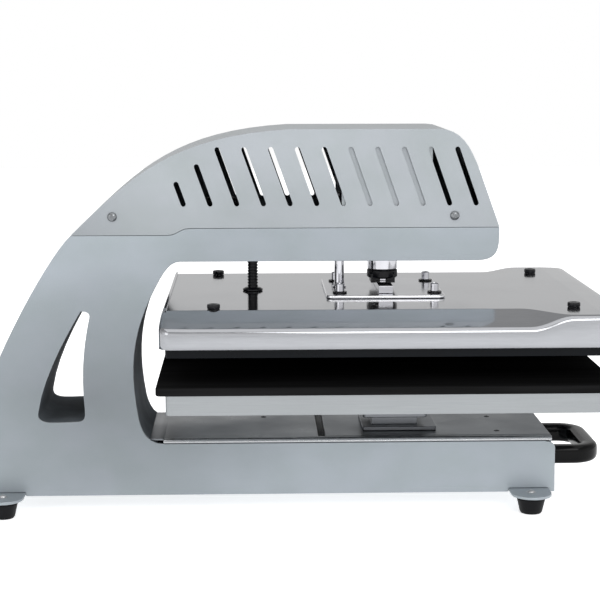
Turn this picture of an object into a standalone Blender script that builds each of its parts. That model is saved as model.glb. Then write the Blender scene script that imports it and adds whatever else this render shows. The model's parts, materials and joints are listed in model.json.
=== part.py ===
"""Pneumatic heat press with a slide-out lower platen. Metres, +Z up, +X to the operator's side."""

import math

import bmesh
import bpy
from mathutils import Vector

# Overall frame: a C-shaped stand of two side plates joined by bent sheets.
REAR_X = -0.376
BASE_FRONT_X = 0.311
BASE_BOTTOM_Z = 0.0205
BASE_TOP_Z = 0.0829
ARM_FRONT_X = 0.2395
ARM_BOTTOM_Z = 0.301
SEAM_Z = 0.3402
REAR_SEAM_Z = 0.3322
COVER_TOP_Z = 0.455
STAND_HALF_WIDTH = 0.0765
PLATE = 0.003
COVER_SHEET = 0.002
FLOOR_SHEET = 0.002
FRONT_LIP_Z = 0.0435
GAP = 0.0003
INNER_HALF_WIDTH = STAND_HALF_WIDTH - PLATE - GAP
COVER_INNER_HALF_WIDTH = STAND_HALF_WIDTH - COVER_SHEET - GAP

# Cover: ventilation slots and fixing screws.
SLOT_COUNT = 12
FIRST_SLOT_X = -0.1294
SLOT_PITCH = 0.0311
SLOT_WIDTH = 0.006
SLOT_BOTTOM_Z = 0.3656
SLOT_TOP_Z = 0.4345
SLOT_LEAN = 0.0245 / 0.0689
SHORT_SLOT_TOPS = {0: 0.3946, 1: 0.4149}
COVER_SCREW_X = (-0.2133, 0.1867)
COVER_SCREW_Z = 0.354
SCREW_HEAD_RADIUS = 0.0055
SCREW_SHANK_RADIUS = 0.003

# Feet.
FOOT_X = (-0.346, 0.28)
FOOT_Y = 0.094
FOOT_HEIGHT = 0.0212
FOOT_TOP_RADIUS = 0.017
FOOT_BOTTOM_RADIUS = 0.0135
FOOT_BAR_BOTTOM_Z = 0.0215
FOOT_BAR_TOP_Z = 0.025
FOOT_BAR_HALF_WIDTH = 0.024
FOOT_BAR_REACH = 0.12

# Press head: cylinder, rod, hood and heated platen.
PRESS_X = 0.108
CYLINDER_RADIUS = 0.038
CYLINDER_BORE = 0.0315
BRACKET_X = (0.0545, 0.1605)
BRACKET_HALF_WIDTH = 0.0725
BRACKET_TOP_Z = 0.444
GLAND_RADIUS = 0.029
GLAND_DROP = 0.0015
BASE_CAP_TOP_Z = 0.33
BORE_TOP_Z = 0.424
BARREL_TOP_Z = 0.438
BUSH_NECK_RADIUS = 0.009
BUSH_RADIUS = 0.0125
BUSH_TOP_Z = 0.324
GROMMET_RADIUS = 0.012
GROMMET_LIP = 0.0025
PISTON_Z = (0.396, 0.411)
ROD_RADIUS = 0.01835
COLLAR_Z = (0.2718, 0.2822)
COLLAR_RADIUS = 0.0186
EAR_HALF_X = 0.0145
EAR_HALF_Y = 0.014
EAR_BOTTOM_Z = 0.2645
BAR_HALF_WIDTH = 0.0085
BAR_REACH = 0.059
BAR_TOP_Z = 0.2688
NECK_HALF_WIDTH = 0.0038
NECK_TOP_Z = 0.2712
NECK_HALF_LENGTH = 0.012
HOOD_REAR_X = -0.154
HOOD_FRONT_X = 0.371
HOOD_CREASE_X = 0.338
HOOD_HALF_WIDTH = 0.212
HOOD_BOTTOM_Z = 0.2203
HOOD_TOP_Z = 0.256
HOOD_CORNER = 0.014
HOOD_SHEET = 0.0015
WALL_RISE_X = (0.259, 0.304)
WALL_TOP_Z = (0.242, 0.2545)
HOOD_REAR_TOP_Z = 0.2495
HOOD_FRONT_TOP_Z = 0.2545
PLATEAU_FLARE_X = (0.256, 0.302)
PLATEAU_HALF_WIDTH = (0.158, 0.204)
HEATER_BOTTOM_Z = 0.209
HEATER_TOP_Z = 0.22
HEATER_X = (-0.1476, 0.361)
HEATER_HALF_WIDTH = 0.201
BOARD_X = (-0.135, 0.325)
BOARD_HALF_WIDTH = 0.15
BOARD_TOP_Z = 0.252
MOUNT_PLATE_X = (0.0365, 0.1775)
MOUNT_PLATE_HALF_WIDTH = 0.077
MOUNT_PLATE_CORNER = 0.009
MOUNT_PLATE_Z = (HOOD_TOP_Z + GAP, 0.2597)
BOLT_X = (0.0535, 0.1666)
BOLT_Y = 0.0515
BOLT_RADIUS = 0.005
BOLT_HEIGHT = 0.0113
WASHER_RADIUS = 0.0085
WASHER_THICKNESS = 0.0016
GUIDE_ROD_X = 0.0555
GUIDE_ROD_RADIUS = 0.0057
GUIDE_ROD_TOP_Z = 0.375
CAP_X = (-0.0947, 0.3151)
CAP_Y = 0.147
CAP_RADIUS = 0.0074
CAP_TOP_Z = 0.2615
CONDUIT_X = -0.05
CONDUIT_RADIUS = 0.0063
CONDUIT_BEND = 0.026
CONDUIT_STRAIGHT_TOP_Z = 0.338
CONDUIT_TAIL = 0.03
CONDUIT_GLAND_RADIUS = 0.0122
CONDUIT_GLAND_HEIGHT = 0.0036

# Drawer: the lower platen, its pedestal and the sliding carriage.
DECK_TOP_Z = 0.0887
DECK_SHEET = 0.0025
DECK_SPLIT_X = (0.027, 0.036)
DECK_REAR_X = -0.1575
DECK_FRONT_X = 0.307
DECK_HALF_WIDTH = 0.077
TRAY_HALF_WIDTH = 0.066
BRACKET_Z = (0.104, 0.1433)
RAIL_X = (-0.15, 0.3)
RAIL_Z = (0.052, 0.07)
RAIL_WIDTH = 0.007
RUNNER_Z = (0.0495, 0.082)
RUNNER_INNER_Y = 0.054
CARRIAGE_X = (-0.15, 0.3032)
CARRIAGE_HALF_WIDTH = 0.062
CARRIAGE_BOTTOM_Z = 0.0795
DRAWER_FRONT_X = 0.3035
DRAWER_FRONT_Z = 0.0445
PLATEN_CORNER = 0.006
PEDESTAL_CORNER = 0.004
FOOT_PLATE = ((0.082, -0.042), (0.172, 0.042))
FOOT_PLATE_THICKNESS = 0.0045
RISER_X = (0.094, 0.15)
RISER_HALF_WIDTH = 0.026
BRACKET_PLAN = ((0.083, -0.037), (0.161, 0.037))
FLANGE_PLAN = ((0.038, -0.075), (0.206, 0.075))
FLANGE_OVERLAP = 0.006
LOWER_PLATE_X = (-0.148, 0.348)
LOWER_PLATE_HALF_WIDTH = 0.198
LOWER_PLATE_Z = (0.1458, 0.1674)
PAD_X = (-0.1585, 0.358)
PAD_HALF_WIDTH = 0.208
PAD_TOP_Z = 0.177
HANDLE_FRONT_X = 0.3703
HANDLE_Z = (0.0512, 0.0735)
HANDLE_HALF_WIDTH = 0.068
HANDLE_BAR = 0.021
HANDLE_CORNER = 0.024
HANDLE_EDGE = 0.0055

# Rear services.
INLET_Y = -0.03
INLET_Z = 0.062
AIR_INLET_Y = 0.04
SWITCH_Y = 0.005
SWITCH_Z = 0.062
INLET_HALF_WIDTH = 0.014
INLET_HALF_HEIGHT = 0.01
INLET_DEPTH = 0.022
INLET_RIM = 0.0022
INLET_FLOOR = 0.006
AIR_RADIUS = 0.0065
AIR_BORE = 0.0035
AIR_DEPTH = 0.025
ROCKER_HALF_HEIGHT = 0.0095
ROCKER_HALF_WIDTH = 0.006
ROCKER_DEPTH = 0.011
SWITCH_OPENING = (0.0078, 0.0113)
CONTROLLER_BOX = ((-0.34, -0.055, 0.0278), (-0.2, 0.055, 0.078))
PANEL_PROUD = 0.0025

LOOKS = {
    "silver_paint": ((0.42, 0.45, 0.48), 0.38, 0.6),
    "cover_paint": ((0.46, 0.49, 0.52), 0.36, 0.6),
    "inner_grey": ((0.06, 0.065, 0.07), 0.5, 0.3),
    "stainless": ((0.62, 0.62, 0.61), 0.22, 1.0),
    "chrome": ((0.75, 0.75, 0.75), 0.08, 1.0),
    "zinc": ((0.6, 0.6, 0.58), 0.3, 1.0),
    "aluminium": ((0.7, 0.7, 0.7), 0.35, 1.0),
    "heater_coat": ((0.03, 0.035, 0.05), 0.3, 0.2),
    "silicone": ((0.012, 0.011, 0.011), 0.35, 0.0),
    "black_rubber": ((0.015, 0.015, 0.015), 0.65, 0.0),
    "black_plastic": ((0.015, 0.015, 0.016), 0.45, 0.0),
    "gloss_black": ((0.008, 0.008, 0.009), 0.12, 0.0),
    "black_steel": ((0.02, 0.02, 0.022), 0.4, 0.5),
    "insulation": ((0.7, 0.68, 0.62), 0.9, 0.0),
    "bronze": ((0.55, 0.36, 0.16), 0.35, 1.0),
}


def clear_scene():
    for item in list(bpy.data.objects):
        bpy.data.objects.remove(item, do_unlink=True)


def make_material(node_name, look):
    colour, roughness, metallic = LOOKS[look]
    material = bpy.data.materials.new(node_name + "_finish")
    material.use_nodes = True
    shader = material.node_tree.nodes["Principled BSDF"]
    shader.inputs["Base Color"].default_value = (*colour, 1.0)
    shader.inputs["Roughness"].default_value = roughness
    shader.inputs["Metallic"].default_value = metallic
    return material


def make_pivot(name, place):
    pivot = bpy.data.objects.new(name, None)
    pivot.location = place
    bpy.context.scene.collection.objects.link(pivot)
    return pivot


def finish_mesh(name, shape, look, pivot=None, smooth_angle=35):
    """Turns world-space bmesh geometry into a named object that hangs from an optional pivot."""
    bmesh.ops.recalc_face_normals(shape, faces=shape.faces)
    if pivot is not None:
        bmesh.ops.translate(shape, verts=shape.verts, vec=-Vector(pivot.location))
    mesh = bpy.data.meshes.new(name)
    shape.to_mesh(mesh)
    shape.free()
    mesh.shade_smooth()
    mesh.set_sharp_from_angle(angle=math.radians(smooth_angle))
    item = bpy.data.objects.new(name, mesh)
    item.parent = pivot
    bpy.context.scene.collection.objects.link(item)
    if look is not None:
        mesh.materials.append(make_material(name, look))
    return item


def cut(target, cutter, operation="DIFFERENCE"):
    cutter.hide_render = True
    cutter.display_type = "WIRE"
    boolean = target.modifiers.new(operation.title() + "_" + cutter.name, "BOOLEAN")
    boolean.operation = operation
    boolean.object = cutter
    boolean.solver = "EXACT"


# Outline helpers. Every outline is a list of (u, v) points.
def bezier(start, handle_a, handle_b, end, steps=10):
    points = []
    for step in range(steps + 1):
        t = step / steps
        s = 1 - t
        weights = (s**3, 3 * s * s * t, 3 * s * t * t, t**3)
        corners = (start, handle_a, handle_b, end)
        u = sum(w * p[0] for w, p in zip(weights, corners))
        v = sum(w * p[1] for w, p in zip(weights, corners))
        points.append((u, v))
    return points


def arc(centre, radius, start_deg, end_deg, steps=5):
    points = []
    for step in range(steps + 1):
        angle = math.radians(start_deg + (end_deg - start_deg) * step / steps)
        points.append((centre[0] + radius * math.cos(angle), centre[1] + radius * math.sin(angle)))
    return points


def rounded_rectangle(low, high, radius, steps=5):
    corners = (
        ((high[0] - radius, high[1] - radius), 0),
        ((low[0] + radius, high[1] - radius), 90),
        ((low[0] + radius, low[1] + radius), 180),
        ((high[0] - radius, low[1] + radius), 270),
    )
    points = []
    for centre, turn in corners:
        points += arc(centre, radius, turn, turn + 90, steps)
    return points


def offset_path(path, distance):
    """Moves each point of an open path to its left-hand side by the distance."""
    moved = []
    for index, point in enumerate(path):
        before = path[max(index - 1, 0)]
        after = path[min(index + 1, len(path) - 1)]
        run = Vector((after[0] - before[0], after[1] - before[1])).normalized()
        moved.append((point[0] - run.y * distance, point[1] + run.x * distance))
    return moved


def sheet_outline(path, thickness):
    """The closed section of a sheet bent along the path, thickened to the path's left-hand side."""
    return path + offset_path(path, thickness)[::-1]


def simplified(points, smallest=0.0002):
    kept = []
    for point in points:
        if not kept or math.dist(point, kept[-1]) > smallest:
            kept.append(point)
    if math.dist(kept[0], kept[-1]) <= smallest:
        kept.pop()
    return kept


AXIS_PLACES = {
    "X": lambda u, v, w: (w, u, v),
    "Y": lambda u, v, w: (u, w, v),
    "Z": lambda u, v, w: (u, v, w),
}


def prism(name, outline, low, high, look, axis="Y", pivot=None, smooth_angle=35):
    """An outline extruded along an axis: (x, z) for Y, (x, y) for Z and (y, z) for X."""
    place = AXIS_PLACES[axis]
    shape = bmesh.new()
    ring = [shape.verts.new(place(u, v, low)) for u, v in simplified(outline)]
    face = shape.faces.new(ring)
    grown = bmesh.ops.extrude_face_region(shape, geom=[face])
    moved = [item for item in grown["geom"] if isinstance(item, bmesh.types.BMVert)]
    bmesh.ops.translate(shape, verts=moved, vec=Vector(place(0, 0, high - low)))
    return finish_mesh(name, shape, look, pivot, smooth_angle)


def block(name, low, high, look, pivot=None):
    outline = [(low[0], low[1]), (high[0], low[1]), (high[0], high[1]), (low[0], high[1])]
    return prism(name, outline, low[2], high[2], look, "Z", pivot)


def turned(name, profile, centre, look, axis="Z", pivot=None, steps=18):
    """A closed (radius, height) profile turned about an axis through the centre."""
    shape = bmesh.new()
    rings = []
    for radius, height in profile:
        ring = []
        for step in range(1 if radius == 0 else steps):
            angle = 2 * math.pi * step / steps
            u = radius * math.cos(angle)
            v = radius * math.sin(angle)
            ring.append(shape.verts.new(Vector(centre) + Vector(AXIS_PLACES[axis](u, v, height))))
        rings.append(ring)
    closed = profile[0][0] > 0
    pairs = list(zip(rings, rings[1:] + rings[:1])) if closed else list(zip(rings, rings[1:]))
    for first, second in pairs:
        for step in range(steps):
            after = (step + 1) % steps
            corners = [first[step % len(first)], first[after % len(first)]]
            corners += [second[after % len(second)], second[step % len(second)]]
            shape.faces.new(list(dict.fromkeys(corners)))
    return finish_mesh(name, shape, look, pivot)


def rod(name, radius, low, high, centre, look, axis="Z", pivot=None, chamfer=0.0004, steps=18):
    profile = [(0, low), (radius - chamfer, low), (radius, low + chamfer)]
    profile += [(radius, high - chamfer), (radius - chamfer, high), (0, high)]
    return turned(name, profile, centre, look, axis, pivot, steps)


def tube(name, inner, outer, low, high, centre, look, axis="Z", pivot=None, steps=18):
    profile = [(outer, low), (outer, high), (inner, high), (inner, low)]
    return turned(name, profile, centre, look, axis, pivot, steps)


# Stand outlines, in the XZ plane.
REAR_CURVE = bezier((REAR_X, 0.105), (REAR_X, 0.1506), (-0.2932, 0.3039), (-0.2621, REAR_SEAM_Z), 16)
COVER_REAR_CURVE = bezier((-0.2621, REAR_SEAM_Z), (-0.1908, 0.4013), (-0.1432, 0.4472), (-0.0066, COVER_TOP_Z), 16)
COVER_NOSE_CURVE = bezier((0.1675, COVER_TOP_Z), (0.1928, COVER_TOP_Z), (0.2045, 0.4349), (0.215, 0.4077), 8)
NOSE_CORNER = bezier((ARM_FRONT_X, 0.3285), (ARM_FRONT_X, 0.309), (0.2335, ARM_BOTTOM_Z), (0.213, ARM_BOTTOM_Z), 8)
SEAM_STEP = bezier((-0.1232, SEAM_Z), (-0.136, SEAM_Z), (-0.137, REAR_SEAM_Z), (-0.15, REAR_SEAM_Z), 6)
THROAT = (
    bezier((-0.135, ARM_BOTTOM_Z), (-0.1445, ARM_BOTTOM_Z), (-0.1515, 0.2935), (-0.1588, 0.2805), 5)[:-1]
    + bezier((-0.1588, 0.2805), (-0.1866, 0.231), (-0.2, 0.1861), (-0.1861, 0.1119), 12)[:-1]
    + bezier((-0.1861, 0.1119), (-0.1824, 0.0978), (-0.1769, BASE_TOP_Z), (-0.1551, BASE_TOP_Z), 6)
)
WINDOW = (
    bezier((-0.252, 0.243), (-0.2415, 0.2425), (-0.2415, 0.2385), (-0.2424, 0.2345), 5)[:-1]
    + bezier((-0.2424, 0.2345), (-0.25, 0.2), (-0.2535, 0.168), (-0.2497, 0.1243), 7)[:-1]
    + bezier((-0.2497, 0.1243), (-0.2487, 0.112), (-0.252, 0.1105), (-0.262, 0.1103), 5)[:-1]
    + bezier((-0.262, 0.1103), (-0.288, 0.1095), (-0.292, 0.1097), (-0.2965, 0.1106), 3)[:-1]
    + bezier((-0.2965, 0.1106), (-0.3045, 0.1125), (-0.3052, 0.1165), (-0.3045, 0.1222), 5)[:-1]
    + bezier((-0.3045, 0.1222), (-0.2975, 0.17), (-0.2607, 0.228), (-0.252, 0.243), 8)[:-1]
)


def side_plate_outline():
    base = [(REAR_X, BASE_BOTTOM_Z)]
    base += [(BASE_FRONT_X, BASE_BOTTOM_Z)]
    base += bezier((BASE_FRONT_X, 0.0745), (BASE_FRONT_X, 0.0797), (0.3065, 0.0812), (0.2985, BASE_TOP_Z), 4)
    arm = NOSE_CORNER[::-1] + [(ARM_FRONT_X, SEAM_Z - GAP)]
    seam = [(x, z - GAP) for x, z in SEAM_STEP]
    return base + THROAT[::-1] + arm + seam + REAR_CURVE[::-1]


def cover_outline():
    seam = [(x, z + GAP) for x, z in SEAM_STEP[::-1]]
    front = [(ARM_FRONT_X, SEAM_Z + GAP)]
    return seam + front + COVER_NOSE_CURVE[::-1] + COVER_REAR_CURVE[::-1][:-1] + [(-0.2619, REAR_SEAM_Z + GAP)]


def slot_outline(index):
    """A round-ended slot whose top leans to the rear."""
    low = Vector((FIRST_SLOT_X + index * SLOT_PITCH, SLOT_BOTTOM_Z))
    top_z = SHORT_SLOT_TOPS.get(index, SLOT_TOP_Z)
    high = Vector((low.x - (top_z - SLOT_BOTTOM_Z) * SLOT_LEAN, top_z))
    run = (high - low).normalized()
    radius = SLOT_WIDTH / 2
    turn = math.degrees(math.atan2(run.y, run.x))
    bottom = arc(low + run * radius, radius, turn + 90, turn + 270, 4)
    top = arc(high - run * radius, radius, turn - 90, turn + 90, 4)
    return bottom + top


def make_side_plates():
    for side, name in ((-1, "left_side_plate"), (1, "right_side_plate")):
        outer = side * STAND_HALF_WIDTH
        inner = side * (STAND_HALF_WIDTH - PLATE)
        plate = prism(name, side_plate_outline(), min(outer, inner), max(outer, inner), "silver_paint")
        reach = 2 * PLATE
        window = prism(name + "_window", WINDOW, min(outer, inner) - reach, max(outer, inner) + reach, None)
        cut(plate, window)
        for index, foot_x in enumerate(FOOT_X):
            half = FOOT_BAR_HALF_WIDTH + GAP
            low = (foot_x - half, min(outer, inner) - reach, BASE_BOTTOM_Z - PLATE)
            high = (foot_x + half, max(outer, inner) + reach, FOOT_BAR_TOP_Z + GAP)
            cut(plate, block(f"{name}_notch_{index}", low, high, None))


def make_covers():
    for side, name in ((-1, "cover_left_panel"), (1, "cover_right_panel")):
        outer = side * STAND_HALF_WIDTH
        inner = side * (STAND_HALF_WIDTH - COVER_SHEET)
        low = min(outer, inner)
        high = max(outer, inner)
        panel = prism(name, cover_outline(), low, high, "cover_paint")
        for index in range(SLOT_COUNT):
            cut(panel, prism(f"{name}_slot_{index}", slot_outline(index), low - PLATE, high + PLATE, None))
        for index, screw_x in enumerate(COVER_SCREW_X):
            hole_radius = SCREW_SHANK_RADIUS + GAP
            centre = (screw_x, 0, COVER_SCREW_Z)
            hole = rod(f"{name}_hole_{index}", hole_radius, low - PLATE, high + PLATE, centre, None, "Y")
            cut(panel, hole)
    top_path = [(ARM_FRONT_X, SEAM_Z + GAP)] + COVER_NOSE_CURVE[::-1] + COVER_REAR_CURVE[::-1]
    outline = sheet_outline(top_path, COVER_SHEET)
    rear_end = len(top_path)
    outline[-1] = (ARM_FRONT_X - COVER_SHEET, SEAM_Z + GAP)
    outline[rear_end - 1] = (top_path[-1][0], REAR_SEAM_Z + GAP)
    outline[rear_end] = (top_path[-1][0] + 1.5 * COVER_SHEET, REAR_SEAM_Z + GAP)
    top = prism("cover_top_sheet", outline, -COVER_INNER_HALF_WIDTH, COVER_INNER_HALF_WIDTH, "cover_paint")
    cut(top, panel_prism("panel_opening", GAP, PLATE, PLATE, None))


def panel_prism(name, margin, above, below, look):
    """A slab on the cover's front slope, given by how far it reaches above and below the sheet's face."""
    bottom = Vector((ARM_FRONT_X, SEAM_Z))
    top = Vector(COVER_NOSE_CURVE[-1])
    run = (top - bottom).normalized()
    out = Vector((run.y, -run.x))
    start = bottom + run * (0.007 - margin)
    end = top - run * (0.003 - margin)
    outline = [start + out * above, end + out * above, end - out * below, start - out * below]
    half_width = 0.058 + margin
    return prism(name, [tuple(point) for point in outline], -half_width, half_width, look)


def make_cover_screws():
    for side, side_name in ((-1, "left"), (1, "right")):
        for screw_x, end_name in zip(COVER_SCREW_X, ("rear", "front")):
            face = STAND_HALF_WIDTH + GAP
            profile = [(0, face - 0.012), (SCREW_SHANK_RADIUS, face - 0.012), (SCREW_SHANK_RADIUS, face)]
            profile += [(SCREW_HEAD_RADIUS, face), (SCREW_HEAD_RADIUS - 0.0006, face + 0.0017)]
            profile += [(SCREW_HEAD_RADIUS - 0.0025, face + 0.0027), (0, face + 0.003)]
            if side < 0:
                profile = [(radius, -height) for radius, height in profile]
            centre = (screw_x, 0, COVER_SCREW_Z)
            turned(f"cover_screw_{side_name}_{end_name}", profile, centre, "zinc", "Y", None, 16)


def make_stand_sheets():
    half = INNER_HALF_WIDTH
    back_path = [(REAR_X + 0.0015, BASE_BOTTOM_Z + 0.009)]
    back_path += [(x + 0.0015, z) for x, z in REAR_CURVE[:-1]]
    back_path += [(REAR_CURVE[-1][0] + 0.002, REAR_SEAM_Z - 0.001)]
    back = prism("back_panel", sheet_outline(back_path[::-1], 0.002), -half, half, "silver_paint")
    inlet_y = INLET_HALF_WIDTH + GAP
    inlet_z = INLET_HALF_HEIGHT + GAP
    inlet_low = (REAR_X - PLATE, INLET_Y - inlet_y, INLET_Z - inlet_z)
    inlet_high = (REAR_X + 3 * PLATE, INLET_Y + inlet_y, INLET_Z + inlet_z)
    cut(back, block("inlet_opening", inlet_low, inlet_high, None))
    switch_y, switch_z = SWITCH_OPENING
    switch_low = (REAR_X - PLATE, SWITCH_Y - switch_y, SWITCH_Z - switch_z)
    switch_high = (REAR_X + 3 * PLATE, SWITCH_Y + switch_y, SWITCH_Z + switch_z)
    cut(back, block("switch_opening", switch_low, switch_high, None))
    air_centre = (0, AIR_INLET_Y, INLET_Z)
    cut(back, rod("air_opening", AIR_RADIUS + GAP, REAR_X - PLATE, REAR_X + 3 * PLATE, air_centre, None, "X"))

    liner = sheet_outline(THROAT[3:-1], -0.0015)
    prism("throat_liner", liner, -half, half, "inner_grey")
    channel_path = NOSE_CORNER + [THROAT[0]] + THROAT[1:3]
    channel_path = [(ARM_FRONT_X, SEAM_Z - GAP)] + channel_path
    channel = prism("arm_channel", sheet_outline(channel_path, -PLATE), -half, half, "silver_paint")
    floor_low = ARM_BOTTOM_Z - PLATE
    floor_high = ARM_BOTTOM_Z + 2 * PLATE
    cut(channel, rod("rod_opening", 0.0295, floor_low, floor_high, (PRESS_X, 0, 0), None))
    cut(channel, rod("guide_opening", 0.0093, floor_low, floor_high, (GUIDE_ROD_X, 0, 0), None))
    cut(channel, rod("conduit_opening", 0.0093, floor_low, floor_high, (CONDUIT_X, 0, 0), None))

    window_ring = simplified(WINDOW)
    lining = prism("window_liner", grown(window_ring, 0.0018), -half, half, "inner_grey")
    cut(lining, prism("window_way", grown(window_ring, 0.0003), -2 * half, 2 * half, None))

    floor_bottom = FOOT_BAR_TOP_Z + GAP
    floor_top = floor_bottom + FLOOR_SHEET
    front = BASE_FRONT_X - 0.001
    floor = [(REAR_X + 0.004, floor_bottom), (front, floor_bottom), (front, FRONT_LIP_Z)]
    floor += [(front - FLOOR_SHEET, FRONT_LIP_Z), (front - FLOOR_SHEET, floor_top), (REAR_X + 0.004, floor_top)]
    prism("base_floor", floor, -half, half, "silver_paint")


def grown(ring, distance):
    """A closed ring of points, ordered clockwise, moved outwards by the distance."""
    count = len(ring)
    moved = []
    for index, point in enumerate(ring):
        before = ring[index - 1]
        after = ring[(index + 1) % count]
        run = Vector((after[0] - before[0], after[1] - before[1])).normalized()
        moved.append((point[0] - run.y * distance, point[1] + run.x * distance))
    return moved


def make_feet():
    for foot_x, end_name in zip(FOOT_X, ("rear", "front")):
        straight = FOOT_BAR_REACH - FOOT_BAR_HALF_WIDTH
        centre_far = (foot_x, straight)
        centre_near = (foot_x, -straight)
        outline = arc(centre_far, FOOT_BAR_HALF_WIDTH, 0, 180, 10)
        outline += arc(centre_near, FOOT_BAR_HALF_WIDTH, 180, 360, 10)
        name = f"{end_name}_foot_bar"
        prism(name, outline, FOOT_BAR_BOTTOM_Z, FOOT_BAR_TOP_Z, "silver_paint", "Z")
        for side, side_name in ((-1, "left"), (1, "right")):
            profile = [(0, 0), (FOOT_BOTTOM_RADIUS - 0.001, 0), (FOOT_BOTTOM_RADIUS, 0.001)]
            profile += [(FOOT_TOP_RADIUS, FOOT_HEIGHT - 0.004), (FOOT_TOP_RADIUS, FOOT_HEIGHT)]
            profile += [(0, FOOT_HEIGHT)]
            turned(f"foot_{end_name}_{side_name}", profile, (foot_x, side * FOOT_Y, 0), "black_rubber")


def make_deck():
    """The fixed deck: its long edges roll down over the side plates, and its front is open for the tray."""
    deck = prism("base_deck", deck_section(DECK_HALF_WIDTH), DECK_REAR_X, DECK_FRONT_X, "stainless", "X")
    low = (DECK_SPLIT_X[0], -TRAY_HALF_WIDTH - 2 * GAP, BASE_TOP_Z - DECK_SHEET)
    high = (DECK_FRONT_X + DECK_SHEET, TRAY_HALF_WIDTH + 2 * GAP, DECK_TOP_Z + DECK_SHEET)
    cut(deck, block("tray_opening", low, high, None))


def deck_section(half):
    lip_z = BASE_TOP_Z + 0.0004
    radius = 0.0045
    near = arc((-half + radius, DECK_TOP_Z - radius), radius, 180, 90, 4)
    outer = [(-half, lip_z)] + near + [(-y, z) for y, z in near[::-1]] + [(half, lip_z)]
    inner_half = half - DECK_SHEET
    under_z = DECK_TOP_Z - DECK_SHEET
    return outer + [(inner_half, lip_z), (inner_half, under_z), (-inner_half, under_z), (-inner_half, lip_z)]


def make_cylinder():
    centre = (PRESS_X, 0, 0)
    floor_top = ARM_BOTTOM_Z + PLATE + GAP
    gland_bottom = ARM_BOTTOM_Z - GLAND_DROP
    rod_room = ROD_RADIUS + GAP
    base = [(GLAND_RADIUS, gland_bottom), (GLAND_RADIUS, floor_top), (CYLINDER_RADIUS, floor_top)]
    base += [(CYLINDER_RADIUS, BASE_CAP_TOP_Z), (rod_room, BASE_CAP_TOP_Z), (rod_room, gland_bottom)]
    turned("cylinder_base_cap", base, centre, "aluminium", "Z", None, 28)
    chamfer = 0.002
    barrel_bottom = BASE_CAP_TOP_Z + GAP
    barrel = [(0, BARREL_TOP_Z), (CYLINDER_RADIUS - chamfer, BARREL_TOP_Z)]
    barrel += [(CYLINDER_RADIUS, BARREL_TOP_Z - chamfer), (CYLINDER_RADIUS, barrel_bottom)]
    barrel += [(CYLINDER_BORE, barrel_bottom), (CYLINDER_BORE, BORE_TOP_Z), (0, BORE_TOP_Z)]
    turned("cylinder_barrel", barrel, centre, "aluminium", "Z", None, 28)
    make_cylinder_bracket()
    guide_room = GUIDE_ROD_RADIUS + GAP
    underside = ARM_BOTTOM_Z - GAP
    bush = [(BUSH_NECK_RADIUS, underside), (BUSH_NECK_RADIUS, floor_top), (BUSH_RADIUS, floor_top)]
    bush += [(BUSH_RADIUS, BUSH_TOP_Z), (guide_room, BUSH_TOP_Z), (guide_room, underside)]
    turned("guide_bush", bush, (GUIDE_ROD_X, 0, 0), "bronze")
    low = ARM_BOTTOM_Z - GROMMET_LIP
    high = floor_top + GROMMET_LIP
    conduit_room = CONDUIT_RADIUS + 3 * GAP
    grommet = [(GROMMET_RADIUS, low), (GROMMET_RADIUS, underside), (BUSH_NECK_RADIUS, underside)]
    grommet += [(BUSH_NECK_RADIUS, floor_top), (GROMMET_RADIUS, floor_top), (GROMMET_RADIUS, high)]
    grommet += [(conduit_room, high), (conduit_room, low)]
    turned("conduit_grommet", grommet, (CONDUIT_X, 0, 0), "black_rubber")


def make_cylinder_bracket():
    """An upturned U of sheet that straddles the cylinder just inside the cover panels."""
    outer = BRACKET_HALF_WIDTH
    inner = outer - COVER_SHEET
    foot_z = ARM_BOTTOM_Z + PLATE + GAP
    top_z = BRACKET_TOP_Z
    outline = [(-outer, foot_z), (-outer, top_z), (outer, top_z), (outer, foot_z)]
    outline += [(inner, foot_z), (inner, top_z - COVER_SHEET), (-inner, top_z - COVER_SHEET), (-inner, foot_z)]
    prism("cylinder_bracket", outline, BRACKET_X[0], BRACKET_X[1], "cover_paint", "X")


def make_services():
    block("controller_box", *CONTROLLER_BOX, "black_plastic")
    panel_prism("control_panel", 0, -GAP, PANEL_PROUD, "gloss_black")
    face_x = REAR_X + GAP
    inlet_low = (face_x, INLET_Y - INLET_HALF_WIDTH, INLET_Z - INLET_HALF_HEIGHT)
    inlet_high = (face_x + INLET_DEPTH, INLET_Y + INLET_HALF_WIDTH, INLET_Z + INLET_HALF_HEIGHT)
    inlet = block("power_inlet", inlet_low, inlet_high, "black_plastic")
    recess_y = INLET_HALF_WIDTH - INLET_RIM
    recess_z = INLET_HALF_HEIGHT - INLET_RIM
    recess_low = (face_x - PLATE, INLET_Y - recess_y, INLET_Z - recess_z)
    recess_high = (face_x + INLET_DEPTH - INLET_FLOOR, INLET_Y + recess_y, INLET_Z + recess_z)
    cut(inlet, block("inlet_recess", recess_low, recess_high, None))
    fitting = (0, AIR_INLET_Y, INLET_Z)
    tube("air_inlet", AIR_BORE, AIR_RADIUS, face_x, face_x + AIR_DEPTH, fitting, "zinc", "X")


def make_rails():
    for side, name in ((-1, "left_rail"), (1, "right_rail")):
        outer = side * INNER_HALF_WIDTH
        inner = side * (INNER_HALF_WIDTH - RAIL_WIDTH)
        low = (RAIL_X[0], min(outer, inner), RAIL_Z[0])
        block(name, low, (RAIL_X[1], max(outer, inner), RAIL_Z[1]), "zinc")


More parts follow.
